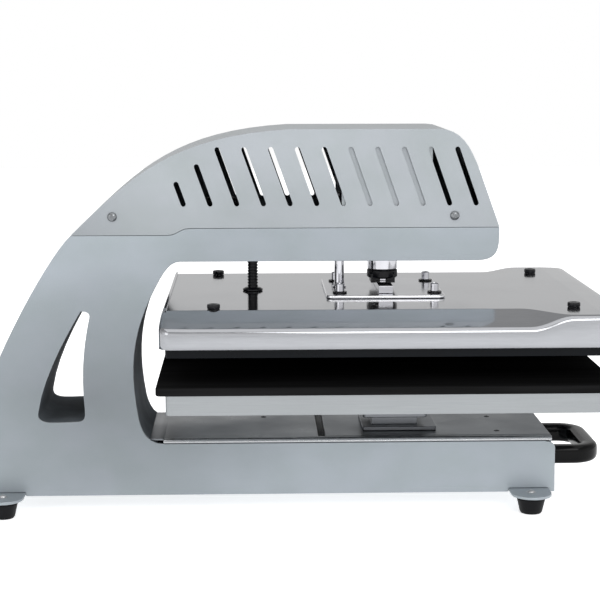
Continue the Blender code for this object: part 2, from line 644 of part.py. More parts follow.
def make_rocker():
    hinge_x = REAR_X + 0.004
    pivot = make_pivot("rocker_pivot", (hinge_x, SWITCH_Y, SWITCH_Z))
    top = SWITCH_Z + ROCKER_HALF_HEIGHT
    bottom = SWITCH_Z - ROCKER_HALF_HEIGHT
    outline = [(REAR_X + 0.0010, SWITCH_Z), (REAR_X + GAP, top), (hinge_x, top)]
    outline += [(REAR_X + ROCKER_DEPTH, SWITCH_Z), (hinge_x, bottom), (REAR_X + 0.0026, bottom)]
    low = SWITCH_Y - ROCKER_HALF_WIDTH
    prism("rocker_switch", outline, low, SWITCH_Y + ROCKER_HALF_WIDTH, "gloss_black", "Y", pivot)


def eased(x, span, values):
    """A value that turns smoothly from the first to the second as x crosses the span."""
    share = min(max((x - span[0]) / (span[1] - span[0]), 0), 1)
    share = share * share * (3 - 2 * share)
    return values[0] + share * (values[1] - values[0])


# Hood: three matched rings, from the open bottom edge to the flat top.
def hood_side_top(x):
    """Height of the side wall: low along the rear, full height near the front corner."""
    return eased(x, WALL_RISE_X, WALL_TOP_Z)


def hood_plateau_half(x):
    """Half width of the flat top, which flares to the walls near the front."""
    return eased(x, PLATEAU_FLARE_X, PLATEAU_HALF_WIDTH)


def hood_plan(inset):
    """One side's stations, rear to front: (x of wall, y of wall, x of plateau, crease height)."""
    stations = []
    radius = HOOD_CORNER
    wall = HOOD_HALF_WIDTH - inset
    rear = HOOD_REAR_X + inset
    front = HOOD_FRONT_X - inset
    for x, y in arc((rear + radius, wall - radius), radius, 180, 90, 4):
        stations.append((x, y, max(x, rear + 0.006)))
    for x in (-0.05, 0.08, 0.2, 0.256, 0.266, 0.276, 0.286, 0.296, 0.306):
        stations.append((x, wall, x))
    stations.append((HOOD_CREASE_X - 0.004, wall, HOOD_CREASE_X - 0.008))
    for x, y in arc((front - radius, wall - radius), radius, 90, 0, 4):
        stations.append((x, y, HOOD_CREASE_X - inset))
    return stations


def hood_solid(name, inset, look, pivot):
    top_z = HOOD_TOP_Z - inset
    bottom_z = HOOD_BOTTOM_Z if inset == 0 else HOOD_BOTTOM_Z - 0.01
    rings = [[], [], []]
    stations = hood_plan(inset)
    both = [(x, -y, px, -1) for x, y, px in stations] + [(x, y, px, 1) for x, y, px in stations[::-1]]
    for x, y, plateau_x, side in both:
        wall_top = hood_side_top(x) - inset
        rear_edge = x < HOOD_REAR_X + inset + HOOD_CORNER
        front_edge = x > HOOD_FRONT_X - inset - HOOD_CORNER
        if rear_edge:
            wall_top = max(wall_top, HOOD_REAR_TOP_Z - inset)
        if front_edge:
            wall_top = HOOD_FRONT_TOP_Z - inset
        half = min(hood_plateau_half(plateau_x) - inset, abs(y) + 0.001)
        rings[0].append((x, y, bottom_z))
        rings[1].append((x, y, wall_top))
        rings[2].append((plateau_x, side * half, top_z))
    shape = bmesh.new()
    rows = [[shape.verts.new(point) for point in ring] for ring in rings]
    count = len(rows[0])
    for lower, upper in zip(rows, rows[1:]):
        for index in range(count):
            after = (index + 1) % count
            shape.faces.new((lower[index], lower[after], upper[after], upper[index]))
    shape.faces.new(rows[0][::-1])
    shape.faces.new(rows[2])
    bmesh.ops.remove_doubles(shape, verts=shape.verts, dist=0.00001)
    bmesh.ops.triangulate(shape, faces=shape.faces)
    return finish_mesh(name, shape, look, pivot, 20)


def make_swivel(head, axis):
    """A black fork under the rod, pinned to the neck of a bright bar that lies across the plate."""
    fork = rod("rod_fork", COLLAR_RADIUS, COLLAR_Z[0], COLLAR_Z[1], axis, "black_steel", "Z", head, 0.0015, 28)
    ear_low = (PRESS_X - EAR_HALF_X, -EAR_HALF_Y, EAR_BOTTOM_Z)
    ear_high = (PRESS_X + EAR_HALF_X, EAR_HALF_Y, (COLLAR_Z[0] + COLLAR_Z[1]) / 2)
    cut(fork, block("fork_ears", ear_low, ear_high, None, head), "UNION")
    rooms = {
        "bar_room": (BAR_HALF_WIDTH + GAP, BAR_TOP_Z + GAP),
        "neck_room": (NECK_HALF_WIDTH + GAP, NECK_TOP_Z + GAP),
    }
    for name, (half_width, top_z) in rooms.items():
        room_low = (PRESS_X - half_width, -COLLAR_RADIUS - GAP, HOOD_TOP_Z)
        room_high = (PRESS_X + half_width, COLLAR_RADIUS + GAP, top_z)
        cut(fork, block(name, room_low, room_high, None, head))
    bar_low = (PRESS_X - BAR_HALF_WIDTH, -BAR_REACH, MOUNT_PLATE_Z[1] + GAP)
    bar = block("swivel_bar", bar_low, (PRESS_X + BAR_HALF_WIDTH, BAR_REACH, BAR_TOP_Z), "chrome", head)
    neck_low = (PRESS_X - NECK_HALF_WIDTH, -NECK_HALF_LENGTH, MOUNT_PLATE_Z[1] + 2 * GAP)
    neck_high = (PRESS_X + NECK_HALF_WIDTH, NECK_HALF_LENGTH, NECK_TOP_Z)
    cut(bar, block("bar_neck", neck_low, neck_high, None, head), "UNION")


def make_press_head():
    head = make_pivot("press_head_pivot", (PRESS_X, 0, ARM_BOTTOM_Z))
    axis = (PRESS_X, 0, 0)
    rod("main_rod", ROD_RADIUS, COLLAR_Z[1] + GAP, PISTON_Z[0] - GAP, axis, "chrome", "Z", head, 0.0004, 28)
    rod("piston", CYLINDER_BORE - GAP, *PISTON_Z, axis, "aluminium", "Z", head, 0.001, 28)
    make_swivel(head, axis)

    low = (MOUNT_PLATE_X[0], -MOUNT_PLATE_HALF_WIDTH)
    high = (MOUNT_PLATE_X[1], MOUNT_PLATE_HALF_WIDTH)
    outline = rounded_rectangle(low, high, MOUNT_PLATE_CORNER, 5)
    prism("mount_plate", outline, MOUNT_PLATE_Z[0], MOUNT_PLATE_Z[1], "chrome", "Z", head)
    bolt_places = {
        "mount_bolt_rear_left": (BOLT_X[0], -BOLT_Y, 0),
        "mount_bolt_rear_right": (BOLT_X[0], BOLT_Y, 0),
        "mount_bolt_front_left": (BOLT_X[1], -BOLT_Y, 0),
        "mount_bolt_front_right": (BOLT_X[1], BOLT_Y, 0),
    }
    seat = MOUNT_PLATE_Z[1] + GAP
    washer_top = seat + WASHER_THICKNESS
    bolt_top = seat + BOLT_HEIGHT
    chamfer = 0.0006
    bolt = [(0, seat), (WASHER_RADIUS, seat), (WASHER_RADIUS, washer_top), (BOLT_RADIUS, washer_top)]
    bolt += [(BOLT_RADIUS, bolt_top - chamfer), (BOLT_RADIUS - chamfer, bolt_top), (0, bolt_top)]
    for name, place in bolt_places.items():
        turned(name, bolt, place, "chrome", "Z", head, 20)
    rod_profile = [(0, seat), (WASHER_RADIUS, seat), (WASHER_RADIUS, washer_top), (GUIDE_ROD_RADIUS, washer_top)]
    rod_profile += [(GUIDE_ROD_RADIUS, GUIDE_ROD_TOP_Z - 0.001), (GUIDE_ROD_RADIUS - 0.001, GUIDE_ROD_TOP_Z)]
    rod_profile += [(0, GUIDE_ROD_TOP_Z)]
    turned("guide_rod", rod_profile, (GUIDE_ROD_X, 0, 0), "chrome", "Z", head, 20)

    hood = hood_solid("hood", 0, "stainless", head)
    cut(hood, hood_solid("hood_hollow", HOOD_SHEET, None, head))
    board_low = (BOARD_X[0], -BOARD_HALF_WIDTH, HEATER_TOP_Z + GAP)
    block("insulation", board_low, (BOARD_X[1], BOARD_HALF_WIDTH, BOARD_TOP_Z), "insulation", head)
    low = (HEATER_X[0], -HEATER_HALF_WIDTH)
    high = (HEATER_X[1], HEATER_HALF_WIDTH)
    outline = rounded_rectangle(low, high, PLATEN_CORNER, 4)
    prism("heater_plate", outline, HEATER_BOTTOM_Z, HEATER_TOP_Z, "heater_coat", "Z", head)
    cap_bottom = HOOD_TOP_Z + GAP
    cap = [(0, cap_bottom), (CAP_RADIUS, cap_bottom), (CAP_RADIUS, CAP_TOP_Z - 0.001)]
    cap += [(CAP_RADIUS - 0.001, CAP_TOP_Z), (0, CAP_TOP_Z)]
    for cap_x, end_name in zip(CAP_X, ("rear", "front")):
        for side, side_name in ((-1, "left"), (1, "right")):
            name = f"hood_cap_{end_name}_{side_name}"
            turned(name, cap, (cap_x, side * CAP_Y, 0), "black_plastic", "Z", head, 20)
    make_conduit(head)


def make_conduit(head):
    seat = HOOD_TOP_Z + GAP
    room = CONDUIT_RADIUS + GAP
    top = seat + CONDUIT_GLAND_HEIGHT
    gland = [(room, seat), (CONDUIT_GLAND_RADIUS, seat), (CONDUIT_GLAND_RADIUS, top - 0.001)]
    gland += [(CONDUIT_GLAND_RADIUS - 0.0032, top), (room, top)]
    turned("conduit_gland", gland, (CONDUIT_X, 0, 0), "black_plastic", "Z", head)
    bend = CONDUIT_BEND
    path = [(CONDUIT_X, seat), (CONDUIT_X, CONDUIT_STRAIGHT_TOP_Z)]
    path += arc((CONDUIT_X - bend, CONDUIT_STRAIGHT_TOP_Z), bend, 0, 90, 6)[1:]
    path += [(CONDUIT_X - bend - CONDUIT_TAIL, CONDUIT_STRAIGHT_TOP_Z + bend)]
    curve = bpy.data.curves.new("conduit", "CURVE")
    curve.dimensions = "3D"
    curve.bevel_depth = CONDUIT_RADIUS
    curve.bevel_resolution = 3
    curve.use_fill_caps = True
    spline = curve.splines.new("POLY")
    spline.points.add(len(path) - 1)
    for point, (x, z) in zip(spline.points, path):
        point.co = (x - head.location.x, -head.location.y, z - head.location.z, 1)
    item = bpy.data.objects.new("conduit", curve)
    item.parent = head
    bpy.context.scene.collection.objects.link(item)
    curve.materials.append(make_material("conduit", "black_plastic"))


def make_drawer():
    drawer = make_pivot("drawer_pivot", (PRESS_X, 0, 0.061))
    under_tray = DECK_TOP_Z - DECK_SHEET - GAP
    carriage_low = (CARRIAGE_X[0], -CARRIAGE_HALF_WIDTH, CARRIAGE_BOTTOM_Z)
    carriage_high = (CARRIAGE_X[1], CARRIAGE_HALF_WIDTH, under_tray - GAP)
    carriage = block("carriage", carriage_low, carriage_high, "zinc", drawer)
    for side, side_name in ((-1, "left"), (1, "right")):
        outer = side * (INNER_HALF_WIDTH - RAIL_WIDTH - GAP)
        inner = side * RUNNER_INNER_Y
        low = (CARRIAGE_X[0], min(outer, inner), RUNNER_Z[0])
        high = (CARRIAGE_X[1], max(outer, inner), RUNNER_Z[1])
        runner = block(side_name + "_runner", low, high, None, drawer)
        cut(carriage, runner, "UNION")
    tray_low = (DECK_SPLIT_X[1], -TRAY_HALF_WIDTH, DECK_TOP_Z - DECK_SHEET)
    block("slide_tray", tray_low, (DECK_FRONT_X, TRAY_HALF_WIDTH, DECK_TOP_Z), "stainless", drawer)
    front_half = INNER_HALF_WIDTH - GAP
    front_low = (DRAWER_FRONT_X, -front_half, DRAWER_FRONT_Z)
    front_high = (DECK_FRONT_X, front_half, under_tray)
    block("drawer_front", front_low, front_high, "silver_paint", drawer)
    make_handle(drawer)

    make_pedestal(drawer)
    low = (LOWER_PLATE_X[0], -LOWER_PLATE_HALF_WIDTH)
    high = (LOWER_PLATE_X[1], LOWER_PLATE_HALF_WIDTH)
    outline = rounded_rectangle(low, high, PLATEN_CORNER, 4)
    prism("lower_plate", outline, LOWER_PLATE_Z[0], LOWER_PLATE_Z[1], "aluminium", "Z", drawer)
    outline = rounded_rectangle((PAD_X[0], -PAD_HALF_WIDTH), (PAD_X[1], PAD_HALF_WIDTH), PLATEN_CORNER, 4)
    prism("silicone_pad", outline, LOWER_PLATE_Z[1] + GAP, PAD_TOP_Z, "silicone", "Z", drawer)


def make_pedestal(drawer):
    """A bright foot plate with a riser on the tray, and a black bracket under the lower plate."""
    bottom = DECK_TOP_Z + GAP
    outline = rounded_rectangle(*FOOT_PLATE, PEDESTAL_CORNER, 3)
    foot = prism("pedestal_foot", outline, bottom, bottom + FOOT_PLATE_THICKNESS, "zinc", "Z", drawer)
    riser_low = (RISER_X[0], -RISER_HALF_WIDTH, bottom + FOOT_PLATE_THICKNESS / 2)
    riser_high = (RISER_X[1], RISER_HALF_WIDTH, BRACKET_Z[0] - GAP)
    cut(foot, block("riser", riser_low, riser_high, None, drawer), "UNION")
    outline = rounded_rectangle(*BRACKET_PLAN, PEDESTAL_CORNER, 3)
    bracket = prism("pedestal_bracket", outline, BRACKET_Z[0], BRACKET_Z[1], "black_steel", "Z", drawer)
    outline = rounded_rectangle(*FLANGE_PLAN, PEDESTAL_CORNER, 3)
    flange_low = BRACKET_Z[1] - FLANGE_OVERLAP
    flange = prism("bracket_flange", outline, flange_low, LOWER_PLATE_Z[0] - GAP, None, "Z", drawer)
    cut(bracket, flange, "UNION")


def make_handle(drawer):
    """A flat U bar that lies level, its two arms butting on the drawer front."""
    back_x = DECK_FRONT_X + GAP
    half = HANDLE_HALF_WIDTH - HANDLE_BAR / 2
    front = HANDLE_FRONT_X - HANDLE_BAR / 2
    radius = HANDLE_CORNER
    path = [(back_x, -half)]
    path += arc((front - radius, -half + radius), radius, 270, 360, 6)
    path += arc((front - radius, half - radius), radius, 0, 90, 6)
    path += [(back_x, half)]
    outline = offset_path(path, -HANDLE_BAR / 2) + offset_path(path, HANDLE_BAR / 2)[::-1]
    handle = prism("handle", outline, HANDLE_Z[0], HANDLE_Z[1], "gloss_black", "Z", drawer)
    bevel = handle.modifiers.new("Rounded edges", "BEVEL")
    bevel.width = HANDLE_EDGE
    bevel.segments = 2
    bevel.limit_method = "ANGLE"
    bevel.angle_limit = math.radians(50)


def main():
    clear_scene()
    make_side_plates()
    make_covers()
    make_cover_screws()
    make_stand_sheets()
    make_feet()
    make_deck()
    make_cylinder()
    make_services()
    make_rails()
    make_rocker()
    make_press_head()
    make_drawer()


main()
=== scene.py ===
"""Looks of the heat press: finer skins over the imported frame, procedural finishes, a white studio."""
import json
import math

import bmesh
import bpy
from mathutils import Matrix, Vector


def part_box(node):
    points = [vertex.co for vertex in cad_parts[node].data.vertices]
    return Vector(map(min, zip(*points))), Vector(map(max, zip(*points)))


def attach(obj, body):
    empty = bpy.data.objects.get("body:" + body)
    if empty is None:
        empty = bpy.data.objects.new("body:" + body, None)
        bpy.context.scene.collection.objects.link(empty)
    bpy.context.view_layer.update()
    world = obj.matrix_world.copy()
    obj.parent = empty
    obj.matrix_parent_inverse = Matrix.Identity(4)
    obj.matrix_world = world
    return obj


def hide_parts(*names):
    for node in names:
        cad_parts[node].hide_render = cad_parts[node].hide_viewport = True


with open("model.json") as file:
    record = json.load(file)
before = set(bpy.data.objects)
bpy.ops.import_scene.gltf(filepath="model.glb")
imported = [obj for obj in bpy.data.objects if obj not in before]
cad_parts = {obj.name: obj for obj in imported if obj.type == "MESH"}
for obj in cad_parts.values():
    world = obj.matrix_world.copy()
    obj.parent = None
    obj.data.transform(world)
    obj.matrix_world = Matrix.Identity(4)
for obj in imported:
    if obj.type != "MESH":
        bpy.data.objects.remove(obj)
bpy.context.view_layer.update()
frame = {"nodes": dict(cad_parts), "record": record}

NODES = frame["nodes"]
BODIES = frame["record"]["behaviour"]["bodies"]
BODY_OF = {node: body for body, members in BODIES.items() for node in members}
SLOT_OF = {part["node"]: part["material_slot"] for part in frame["record"]["subparts"]}

# Camera, in the row frame: metres and radians.
CAMERA_PLACE = (-0.0523, -1.96209, 0.53736)
CAMERA_PITCH_DOWN = 0.148527
CAMERA_YAW_RIGHT = 0.03053
CAMERA_ROLL = 0.001461
CAMERA_LENS_MM = 97.31
SENSOR_MM = 36.0

# Sockets of a colour mix node.
MIX_FACTOR, MIX_FIRST, MIX_SECOND, MIX_RESULT = 0, 6, 7, 2

# How near two points are before they merge, and how flat two faces are before they join.
CAD_WELD = 0.00002
SKIN_WELD = 0.00001
FLAT_ANGLE = math.radians(0.2)


# ---------------------------------------------------------------- materials
def add_node(tree, kind, inputs=None, **settings):
    made = tree.nodes.new(kind)
    for name, value in settings.items():
        setattr(made, name, value)
    for name, value in (inputs or {}).items():
        made.inputs[name].default_value = value
    return made


def new_material(name, **shader_inputs):
    material = bpy.data.materials.new(name)
    material.use_nodes = True
    shader = material.node_tree.nodes["Principled BSDF"]
    for socket, value in shader_inputs.items():
        shader.inputs[socket.replace("_", " ")].default_value = value
    return material, material.node_tree, shader


def surface_noise(tree, scale, stretch=(1, 1, 1), detail=4.0, roughness=0.6):
    """Noise over the object's own metres; stretch below 1 along an axis draws it out into lines."""
    place = add_node(tree, "ShaderNodeTexCoord")
    mapping = add_node(tree, "ShaderNodeMapping", {"Scale": stretch})
    noise = add_node(tree, "ShaderNodeTexNoise", {"Scale": scale, "Detail": detail, "Roughness": roughness})
    tree.links.new(place.outputs["Object"], mapping.inputs["Vector"])
    tree.links.new(mapping.outputs["Vector"], noise.inputs["Vector"])
    return noise.outputs["Fac"]


def ranged(tree, value, low, high, out_low, out_high):
    spread = add_node(tree, "ShaderNodeMapRange", {
        "From Min": low, "From Max": high, "To Min": out_low, "To Max": out_high,
    })
    tree.links.new(value, spread.inputs["Value"])
    return spread.outputs["Result"]


def two_tone(tree, value, dark, light, low=0.35, high=0.65):
    ramp = add_node(tree, "ShaderNodeValToRGB")
    ramp.color_ramp.elements[0].position = low
    ramp.color_ramp.elements[0].color = (*dark, 1)
    ramp.color_ramp.elements[1].position = high
    ramp.color_ramp.elements[1].color = (*light, 1)
    tree.links.new(value, ramp.inputs["Fac"])
    return ramp.outputs["Color"]


def mixed(tree, factor, first, second, kind="MIX"):
    """A mix of two colours; each of the three may be a socket or a plain value."""
    mix = add_node(tree, "ShaderNodeMix", data_type="RGBA", blend_type=kind)
    for index, value in ((MIX_FACTOR, factor), (MIX_FIRST, first), (MIX_SECOND, second)):
        if isinstance(value, bpy.types.NodeSocket):
            tree.links.new(value, mix.inputs[index])
        else:
            mix.inputs[index].default_value = value
    return mix.outputs[MIX_RESULT]


def add_bump(tree, shader, height, strength, distance, below=None):
    bump = add_node(tree, "ShaderNodeBump", {"Strength": strength, "Distance": distance})
    tree.links.new(height, bump.inputs["Height"])
    if below is not None:
        tree.links.new(below, bump.inputs["Normal"])
    tree.links.new(bump.outputs["Normal"], shader.inputs["Normal"])
    return bump.outputs["Normal"]


def worn_edges(tree, colour, worn, amount, radius=0.0012):
    """Lightens the colour along convex edges, where the finish rubs thin."""
    bevel = add_node(tree, "ShaderNodeBevel", samples=4)
    bevel.inputs["Radius"].default_value = radius
    geometry = add_node(tree, "ShaderNodeNewGeometry")
    dot = add_node(tree, "ShaderNodeVectorMath", operation="DOT_PRODUCT")
    tree.links.new(bevel.outputs["Normal"], dot.inputs[0])
    tree.links.new(geometry.outputs["Normal"], dot.inputs[1])
    share = ranged(tree, dot.outputs["Value"], 1.0, 0.86, 0.0, amount)
    return mixed(tree, share, colour, (*worn, 1))


def shaded(colour, factor):
    return tuple(min(channel * factor, 1.0) for channel in colour)


def metallic_paint(name, colour, painted_shade_centre, painted_shade_reach, painted_shade_amount):
    """Satin silver paint: cloudy tone changes, fine flakes, a faint orange peel and one patch of painted
    shade.
    """
    material, tree, shader = new_material(name, Metallic=0.45, Coat_Weight=0.25, Coat_Roughness=0.28)
    clouds = surface_noise(tree, 5.0, (1, 1, 1.6), 2.0, 0.45)
    flakes = surface_noise(tree, 2600.0, detail=1.0)
    peel = surface_noise(tree, 420.0, detail=2.0, roughness=0.4)
    body = two_tone(tree, clouds, shaded(colour, 0.92), shaded(colour, 1.07), 0.3, 0.7)
    blotches = surface_noise(tree, 17.0, (1, 1, 1.3), 3.0, 0.5)
    tint = two_tone(tree, blotches, (0.955, 0.965, 0.955), (1.03, 1.02, 1.035), 0.35, 0.65)
    toned = mixed(tree, 1.0, body, tint, "MULTIPLY")
    # A spherical patch over x and z darkens the base colour: painted shade.
    place = add_node(tree, "ShaderNodeTexCoord")
    scale = (1 / painted_shade_reach[0], 0, 1 / painted_shade_reach[1])
    shift = (-painted_shade_centre[0] / painted_shade_reach[0], 0, -painted_shade_centre[1] / painted_shade_reach[1])
    around = add_node(tree, "ShaderNodeMapping", {"Location": shift, "Scale": scale})
    painted_shade_patch = add_node(tree, "ShaderNodeTexGradient", gradient_type="SPHERICAL")
    tree.links.new(place.outputs["Object"], around.inputs["Vector"])
    tree.links.new(around.outputs["Vector"], painted_shade_patch.inputs["Vector"])
    shade_factor = ranged(tree, painted_shade_patch.outputs["Fac"], 0, 1, 1, 1 - painted_shade_amount)
    painted_shade = add_node(tree, "ShaderNodeVectorMath", operation="SCALE")
    tree.links.new(toned, painted_shade.inputs[0])
    tree.links.new(shade_factor, painted_shade.inputs["Scale"])
    fleck = two_tone(tree, flakes, (0.9, 0.9, 0.9), (1.07, 1.07, 1.07), 0.35, 0.68)
    flecked = mixed(tree, 1.0, painted_shade.outputs[0], fleck, "MULTIPLY")
    rubbed = worn_edges(tree, flecked, shaded(colour, 1.35), 0.55)
    tree.links.new(rubbed, shader.inputs["Base Color"])
    tree.links.new(ranged(tree, flakes, 0.3, 0.7, 0.34, 0.46), shader.inputs["Roughness"])
    first = add_bump(tree, shader, peel, 0.05, 0.0006)
    add_bump(tree, shader, flakes, 0.035, 0.0002, first)
    return material


def brushed_metal(name, colour, low_rough, high_rough, stretch, scale, line_bump, anisotropic):
    """Bare metal with fine drawn-out lines and a few soft handling marks."""
    material, tree, shader = new_material(name, Metallic=1.0, Anisotropic=anisotropic)
    lines = surface_noise(tree, scale, stretch, 6.0, 0.7)
    smudges = surface_noise(tree, 11.0, detail=5.0, roughness=0.55)
    tint = two_tone(tree, lines, shaded(colour, 0.94), shaded(colour, 1.05), 0.3, 0.7)
    tree.links.new(worn_edges(tree, tint, shaded(colour, 1.2), 0.4, 0.0008), shader.inputs["Base Color"])
    both = add_node(tree, "ShaderNodeMath", operation="MULTIPLY_ADD", inputs={1: 0.55})
    tree.links.new(lines, both.inputs[0])
    tree.links.new(ranged(tree, smudges, 0.35, 0.7, 0.0, 0.45), both.inputs[2])
    rough = ranged(tree, both.outputs[0], 0.2, 0.75, low_rough, high_rough)
    tree.links.new(rough, shader.inputs["Roughness"])
    add_bump(tree, shader, lines, line_bump, 0.0003)
    return material


def bright_metal(name, colour, low_rough, high_rough, mark_scale=900.0):
    """Plated metal: faint wipe marks and tiny specks in an otherwise clean reflection."""
    material, tree, shader = new_material(name, Metallic=1.0)
    haze = surface_noise(tree, 30.0, (1, 1, 3), 4.0)
    specks = surface_noise(tree, mark_scale, detail=2.0)
    tint = two_tone(tree, haze, shaded(colour, 0.95), shaded(colour, 1.03))
    tree.links.new(tint, shader.inputs["Base Color"])
    tree.links.new(ranged(tree, haze, 0.35, 0.65, low_rough, high_rough), shader.inputs["Roughness"])
    add_bump(tree, shader, specks, 0.02, 0.0001)
    return material


def moulded(name, colour, rough, grain_scale, grain, shine, gloss_spread=0.08):
    """Plastic or rubber with a fine moulded grain, slight gloss changes and paler rubbed edges."""
    material, tree, shader = new_material(name, Specular_IOR_Level=shine)
    texture = surface_noise(tree, grain_scale, detail=3.0)
    patches = surface_noise(tree, 24.0, detail=4.0)
    body = two_tone(tree, patches, shaded(colour, 0.8), shaded(colour, 1.25))
    worn = tuple(channel * 1.6 + 0.006 for channel in colour)
    tree.links.new(worn_edges(tree, body, worn, 0.5), shader.inputs["Base Color"])
    low = max(rough - gloss_spread, 0.03)
    tree.links.new(ranged(tree, patches, 0.3, 0.7, low, rough + gloss_spread), shader.inputs["Roughness"])
    add_bump(tree, shader, texture, grain, 0.0004)
    return material


def silicone_sheet():
    """Black silicone: long faint wipe streaks that change its gloss, over a very fine matt grain."""
    material, tree, shader = new_material("silicone_black", Specular_IOR_Level=0.0, IOR=1.06)
    streaks = surface_noise(tree, 14.0, (0.25, 5.0, 5.0), 6.0, 0.65)
    grain = surface_noise(tree, 1500.0, detail=2.0)
    dust = surface_noise(tree, 260.0, detail=6.0, roughness=0.75)
    body = two_tone(tree, streaks, (0.007, 0.007, 0.007), (0.013, 0.013, 0.0135), 0.35, 0.7)
    specks = two_tone(tree, dust, (0, 0, 0), (0.006, 0.006, 0.006), 0.7, 0.85)
    tree.links.new(mixed(tree, 1.0, body, specks, "ADD"), shader.inputs["Base Color"])
    tree.links.new(ranged(tree, streaks, 0.3, 0.7, 0.3, 0.5), shader.inputs["Roughness"])
    add_bump(tree, shader, grain, 0.08, 0.0002)
    return material


def fibre_board():
    """Pale pressed board with drawn-out fibres."""
    material, tree, shader = new_material("fibre_board", Roughness=0.92)
    fibres = surface_noise(tree, 220.0, (1, 0.2, 1), 6.0)
    tint = two_tone(tree, fibres, (0.55, 0.53, 0.47), (0.78, 0.76, 0.7))
    tree.links.new(tint, shader.inputs["Base Color"])
    add_bump(tree, shader, fibres, 0.5, 0.0008)
    return material


def touch_screen():
    """Dark glass over a dim blue display with soft tiles and no lettering."""
    material, tree, shader = new_material("touch_screen", Roughness=0.1, Coat_Weight=0.6, Coat_Roughness=0.04)
    place = add_node(tree, "ShaderNodeTexCoord")
    tiles = add_node(tree, "ShaderNodeTexBrick", {
        "Color1": (0.02, 0.07, 0.12, 1), "Color2": (0.015, 0.05, 0.09, 1), "Mortar": (0.004, 0.01, 0.016, 1),
        "Scale": 1.0, "Mortar Size": 0.0016, "Brick Width": 0.028, "Row Height": 0.02,
    })
    mapping = add_node(tree, "ShaderNodeMapping", {"Rotation": (math.radians(90), 0, math.radians(90))})
    tree.links.new(place.outputs["Object"], mapping.inputs["Vector"])
    tree.links.new(mapping.outputs["Vector"], tiles.inputs["Vector"])
    tree.links.new(tiles.outputs["Color"], shader.inputs["Base Color"])
    smudges = surface_noise(tree, 60.0, detail=5.0)
    tree.links.new(ranged(tree, smudges, 0.3, 0.7, 0.06, 0.2), shader.inputs["Roughness"])
    return material


FRAME_SILVER = (0.325, 0.362, 0.39)
COVER_SILVER = (0.35, 0.378, 0.397)
DECK_STEEL = (0.165, 0.175, 0.187)
NICKEL = (0.43, 0.435, 0.46)

# Finishes by the record's material slots. The two paints end with a patch of painted shade: its middle and
# reach along x and z in metres, and its strength.
MATERIALS = {
    # Painted shade: the frame paint darkens around the post, the cover paint towards its rear.
    "silver_paint": metallic_paint("silver_paint_skin", FRAME_SILVER, (-0.24, 0.14), (0.28, 0.16), 0.47),
    "cover_paint": metallic_paint("cover_paint_skin", COVER_SILVER, (-0.27, 0.31), (0.16, 0.13), 0.30),
    # Dark grey for the liners and the covers' inward faces: painted shade for hollows that lie in shadow.
    "inner_grey": moulded("inner_grey_painted_shade", (0.085, 0.096, 0.107), 0.8, 500.0, 0.1, 0.05),
    "stainless": brushed_metal(
        "stainless_sheet", (0.375, 0.382, 0.40), 0.07, 0.15, (0.6, 9, 9), 60.0, 0.006, 0.0
    ),
    "chrome": bright_metal("chrome_plate", (0.62, 0.62, 0.65), 0.05, 0.11),
    "zinc": bright_metal("zinc_plate", (0.55, 0.555, 0.56), 0.3, 0.38, 1500.0),
    "aluminium": brushed_metal(
        "milled_aluminium", (0.33, 0.345, 0.355), 0.3, 0.42, (0.25, 3, 9), 90.0, 0.09, 0.2
    ),
    "heater_coat": moulded("heater_coating", (0.002, 0.003, 0.0045), 0.3, 900.0, 0.08, 0.12),
    "silicone": silicone_sheet(),
    "black_rubber": moulded("black_rubber_mould", (0.004, 0.004, 0.005), 0.5, 700.0, 0.25, 0.15),
    "black_plastic": moulded("black_plastic_mould", (0.003, 0.003, 0.005), 0.3, 1100.0, 0.1, 0.3),
    "gloss_black": moulded("gloss_black_mould", (0.001, 0.001, 0.0013), 0.16, 60.0, 0.01, 0.14, 0.05),
    "black_steel": moulded("black_oxide_steel", (0.003, 0.003, 0.005), 0.3, 600.0, 0.06, 0.3),
    "insulation": fibre_board(),
    "bronze": brushed_metal("sintered_bronze", (0.5, 0.33, 0.16), 0.3, 0.45, (1, 1, 1), 300.0, 0.1, 0.0),
}
SCREW_STEEL = bright_metal("dulled_screw_steel", (0.22, 0.23, 0.24), 0.22, 0.34, 500.0)


# ---------------------------------------------------------------- pieces
def link(item):
    bpy.context.scene.collection.objects.link(item)
    return item


def settle(item, node=None, body=None, slot=None):
    """Gives a piece its finish and its body and, where it stands for a CAD node, that node's place."""
    slot = slot or SLOT_OF[node]
    if not item.data.materials:
        item.data.materials.append(MATERIALS[slot])
    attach(item, body or BODY_OF[node])
    if node is not None:
        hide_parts(node)
    return item


def smooth(mesh, angle=35):
    mesh.shade_smooth()
    mesh.set_sharp_from_angle(angle=math.radians(angle))


def mesh_piece(name, shape, angle=35, recalculate=True):
    """An object made from a bmesh, shaded smooth below the angle."""
    if recalculate:
        bmesh.ops.recalc_face_normals(shape, faces=shape.faces)
    mesh = bpy.data.meshes.new(name)
    shape.to_mesh(mesh)
    shape.free()
    smooth(mesh, angle)
    return link(bpy.data.objects.new(name, mesh))


def add_bevel(item, width, segments, angle):
    bevel = item.modifiers.new("Rounded edges", "BEVEL")
    bevel.width = width
    bevel.segments = segments
    bevel.limit_method = "ANGLE"
    bevel.angle_limit = math.radians(angle)
    bevel.harden_normals = True
    bevel.use_clamp_overlap = True


def refined(node, width, segments=3, angle=40):
    """A copy of a CAD node's form with its flats merged and its edges rounded."""
    shape = bmesh.new()
    shape.from_mesh(NODES[node].data)
    bmesh.ops.remove_doubles(shape, verts=shape.verts, dist=CAD_WELD)
    bmesh.ops.dissolve_limit(
        shape, angle_limit=FLAT_ANGLE, verts=shape.verts, edges=shape.edges, delimit={"NORMAL"}
    )
    item = mesh_piece(node + "_skin", shape)
    add_bevel(item, width, segments, angle)
    return settle(item, node)


AXIS_PLACES = {
    "Y": lambda u, v, w: Vector((u, w, v)),
    "Z": lambda u, v, w: Vector((u, v, w)),
}


